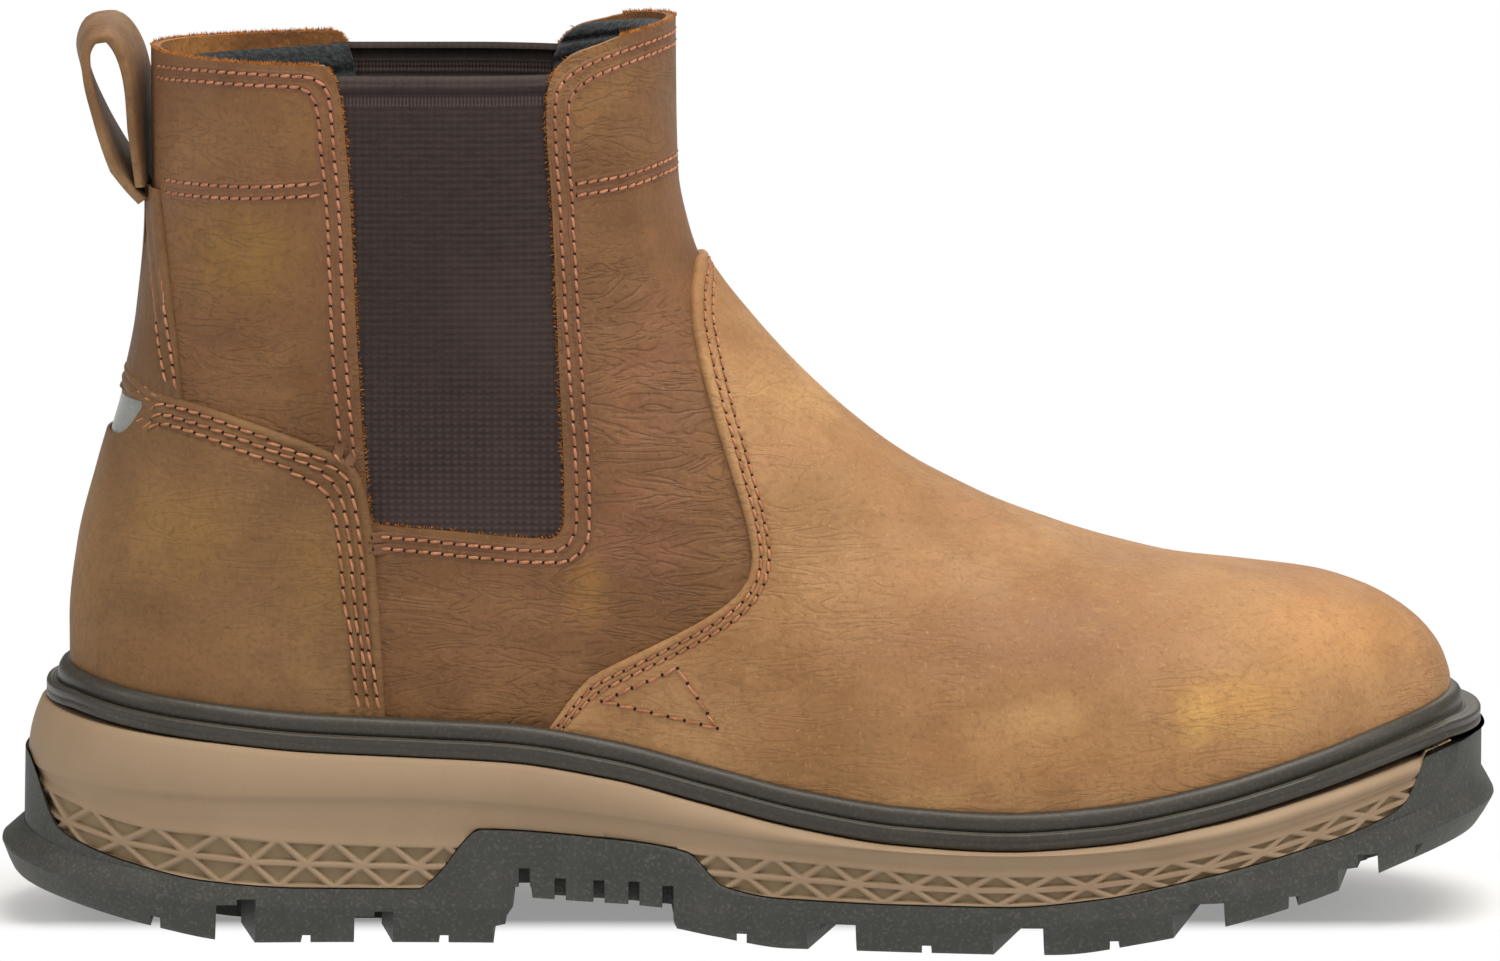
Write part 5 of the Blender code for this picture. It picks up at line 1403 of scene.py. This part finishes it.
# Outsole
# Black rubber tread: a lip round the foam, a clip up the heel, a rise over the arch and a bumper
# at the toe. Stepped gaps part its lugs, and small sipes nick their edges.
CHANNEL_PLACE = 17 * MM
CUT_REACH = 75 * MM
OUTSOLE_RUBBER = rubber("tread_rubber", srgb(57, 57, 53), srgb(90, 89, 83), 0.14 * MM, 0.6)
tread = outline(0.0, 260, 0.05)
tread_xs = tread[0][:, 0]
top_out, lip_out, foot_out = step_out(tread_xs, 5), step_out(tread_xs, 6), step_out(tread_xs, 7)
truss_there = step_out(tread_xs, 4)


def tread_ring(offset, z):
    points = tread[0] + tread[1] * np.broadcast_to(offset, len(tread_xs))[:, None]
    return np.column_stack([points, np.minimum(z, parting(points[:, 0]))])


z_seat, z_foot = seat(tread_xs), side_line(3, tread_xs)
z_lip, z_ground = side_line(4, tread_xs), side_line(5, tread_xs)
under_lip = np.minimum(z_seat, parting(tread_xs) - 0.5 * MM)
outsole_rings = [
    tread_ring(truss_there - 2.5 * MM, z_seat),
    tread_ring(top_out - 0.45 * MM, z_seat),
    tread_ring(top_out - 0.1 * MM, np.minimum(z_seat, parting(tread_xs) - 0.15 * MM)),
    tread_ring(top_out, under_lip),
    tread_ring(top_out, z_foot * 0.5 + under_lip * 0.5),
    tread_ring(top_out, z_foot),
    tread_ring(top_out + (lip_out - top_out) * 0.55, z_foot + (z_lip - z_foot) * 0.5),
    tread_ring(lip_out - 0.1 * MM, z_lip + 0.5 * MM),
    tread_ring(lip_out, z_lip),
    tread_ring(lip_out - 0.25 * MM, z_lip - 0.6 * MM),
    tread_ring(lip_out + (foot_out - lip_out) * 0.55, z_lip + (z_ground - z_lip) * 0.55),
    tread_ring(foot_out, z_ground + 0.5 * MM),
    tread_ring(foot_out - 0.4 * MM, z_ground),
]
outsole = looped("rubber_outsole", outsole_rings, OUTSOLE_RUBBER, smooth_angle=32)
# Gaps between lugs, as they meet the lateral edge of the sole: rear and front of the tall part,
# its height, rear and height of the lower step behind it, in millimetres, then the turn across
# the sole in degrees and the distance of that edge from the middle
GAPS = (
    (-106.8, -102.9, 9.4, -111.0, 8.3, 10, 37), (-78.1, -74.2, 6.7, -82.1, 5.6, 8, 37),
    (14.8, 22.4, 5.6, 11.9, 4.4, -12, 50), (53.6, 61.0, 5.8, 50.4, 4.6, -12, 54),
    (91.6, 98.4, 10.6, 88.0, 8.9, -12, 50), (126.3, 130.2, 18.3, 122.4, 15.7, -8, 36),
)
SIPES = (-122.5, -91.5, -63.0, -1.5, 36.5, 75.0, 112.0, 139.0)
# Side view of the hollow under the arch, in millimetres
ARCH = (
    (-52.7, -20), (-52.7, 3.6), (-50.2, 4.2), (-49.9, 6.0), (-48.6, 8.0), (-48.6, 12.0), (-44.9, 12.0),
    (-44.6, 9.8), (-36.0, 9.3), (-26.0, 8.8), (-16.0, 8.0), (-15.4, 4.8),
    (-14.2, 2.2), (-12.3, 1.0), (-12.3, -20),
)
# Nicks along the arch's edge: place and top
ARCH_NICKS = ((-46.3, 15.9), (-38.9, 13.9), (-30.9, 13.6), (-23.7, 13.4), (-16.7, 12.6))


def boxes(name, shapes):
    verts, faces = [], []
    for plan, (low, high) in shapes:
        n, start = len(plan), len(verts)
        verts += [(x, y, z) for z in (low, high) for x, y in plan]
        faces += [tuple(range(start + n - 1, start - 1, -1)), tuple(range(start + n, start + 2 * n))]
        faces += [(start + i, start + (i + 1) % n, start + n + (i + 1) % n, start + n + i) for i in range(n)]
    return mesh_piece(name, verts, faces, [OUTSOLE_RUBBER])


def bar(left, right, near, far, lean, low, high):
    """Plan of a cut across the sole, its far end leaned forward, and the heights it reaches."""
    plan = [(left * MM, near), (right * MM, near), (right * MM + lean, far), (left * MM + lean, far)]
    return plan, (low, high * MM)


cutters = []
gaps, steps, nicks = [], [], []
for rear, front, tall, step, step_tall, turn, edge_y in GAPS:
    lean = math.tan(math.radians(turn)) * 0.058
    back_by = lean * (edge_y * MM - CHANNEL_PLACE) / 0.058 / MM
    for side in (-1, 1):
        near, far = side * CHANNEL_PLACE, side * CUT_REACH
        gaps.append(bar(rear - back_by, front - back_by, near, far, lean, -0.02, tall))
        step_near = near + side * MM
        steps.append(bar(step - back_by, rear + 0.3 - back_by, step_near, far, lean, -0.02, step_tall))
for x in SIPES:
    for side in (-1, 1):
        ground = float(side_line(5, np.array([x * MM]))[0])
        nicks.append(bar(x - 1.0, x + 1.0, side * 0.030, side * 0.075, 0.0, -0.02, ground / MM + 1.6))
grooves = []
for start, end in ((-120.0, -62.7), (0.0, 74.0)):
    for side in (-1, 1):
        xs = np.linspace(start, end, 9)
        for left, right in zip(xs, xs[1:]):
            tall = float(side_line(5, np.array([(left + right) / 2 * MM]))[0]) / MM + 5.8
            near, far = sorted((side * 13.7 * MM, side * 20.3 * MM))
            grooves.append(bar(left, right, near, far, 0.0, -0.02, tall))
arch_notches = []
for x, top in ARCH_NICKS:
    for side in (-1, 1):
        reach_y = float(plan_half(np.array([x * MM]))[0]) + 8.3 * MM
        centre = float(plan_middle(np.array([x * MM]))[0])
        near, far = sorted((centre + side * (reach_y - 4.5 * MM), centre + side * (reach_y + 8 * MM)))
        arch_notches.append(bar(x - 1.15, x + 1.15, near, far, 0.0, 0.0, top))
for name, shapes in (("gap_cutter", gaps), ("step_cutter", steps), ("nick_cutter", nicks),
                     ("channel_cutter", grooves), ("arch_cutter", ARCH), ("arch_notch_cutter", arch_notches)):
    if name == "arch_cutter":
        cutter = prism(name, np.array(shapes) * MM, 0.1, [OUTSOLE_RUBBER])
    else:
        cutter = boxes(name, shapes)
    step = outsole.modifiers.new(name, "BOOLEAN")
    step.object, step.operation, step.solver = cutter, "DIFFERENCE", "EXACT"
    step.use_self = name == "channel_cutter"
    cutters.append(cutter)
settle(outsole, 32)
for cutter in cutters:
    bpy.data.objects.remove(cutter, do_unlink=True)
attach(outsole, "root")
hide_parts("outsole")

# Floor, lights and camera
# A white sweep under soft studio lights, seen from the boot's outer side through a long lens. The floor
#  glows white as painted light away from the boot and in front of it, and faintly round it to lighten its
#  shadows.
def floor_material():
    t = Tree("white_floor_painted_light")
    far = t.far((0, 0, 0), (0.175, 0.075, 1.0))
    forward = t.axis("Y")
    paint = t.shader
    paint.inputs["Base Color"].default_value = (0.86, 0.85, 0.83, 1)
    paint.inputs["Roughness"].default_value = 0.9
    paint.inputs["Specular IOR Level"].default_value = 0.2
    painted_floor_light = t.node("ShaderNodeEmission", {"Color": (1.0, 1.0, 1.0), "Strength": 1.0}).outputs[0]
    # Painted light: the floor glows fully white beyond the boot's footprint and in front of the sole, and at
    # 0.28 near it, lightening the shadows there.
    share = t.math("MAXIMUM", t.span(far, 0.80, 1.30, 0.28, 1.0), t.span(forward, -0.008, -0.032))
    blend = t.node("ShaderNodeMixShader", {0: share, 1: paint.outputs[0], 2: painted_floor_light}).outputs[0]
    t.links.new(blend, t.nodes["Material Output"].inputs["Surface"])
    return t.material


floor = mesh_piece("studio_floor", [(-6, -4, 0), (6, -4, 0), (6, 12, 0), (-6, 12, 0)], [(0, 1, 2, 3)],
                   [floor_material()], outward=False)
world = bpy.data.worlds.new("studio")
world.use_nodes = True
world.node_tree.nodes["Background"].inputs["Color"].default_value = (1, 1, 1, 1)
world.node_tree.nodes["Background"].inputs["Strength"].default_value = 0.16
bpy.context.scene.world = world
for name, place, size, power in (
    ("top_softbox", (0.25, -0.25, 1.5), 1.3, 30.0),
    ("front_softbox", (0.5, -1.5, 0.9), 1.2, 6.0),
    ("rear_left_softbox", (-1.2, -0.5, 0.8), 0.8, 5.5),
    ("right_softbox", (1.3, -0.3, 0.7), 0.8, 4.0),
    ("rear_softbox", (0.2, 1.3, 0.9), 1.0, 5.0),
):
    lamp = bpy.data.lights.new(name, "AREA")
    lamp.energy, lamp.size, lamp.color = power, size, (1.0, 0.98, 0.92)
    obj = bpy.data.objects.new(name, lamp)
    obj.location = place
    obj.rotation_euler = (Vector((0, 0, 0.08)) - Vector(place)).to_track_quat("-Z", "Y").to_euler()
    bpy.context.scene.collection.objects.link(obj)
camera_data = bpy.data.cameras.new("camera")
camera_data.sensor_width = 36
camera_data.lens = 252.5
camera_data.shift_x = 1 / 1500
camera = bpy.data.objects.new("camera", camera_data)
tilt, distance, aim = math.radians(8), 2.2, 0.0904
camera.location = (0, -distance * math.cos(tilt), aim + distance * math.sin(tilt))
camera.rotation_euler = (math.pi / 2 - tilt, 0, 0)
bpy.context.scene.collection.objects.link(camera)
bpy.context.scene.camera = camera
bpy.context.scene.view_settings.view_transform = "Standard"
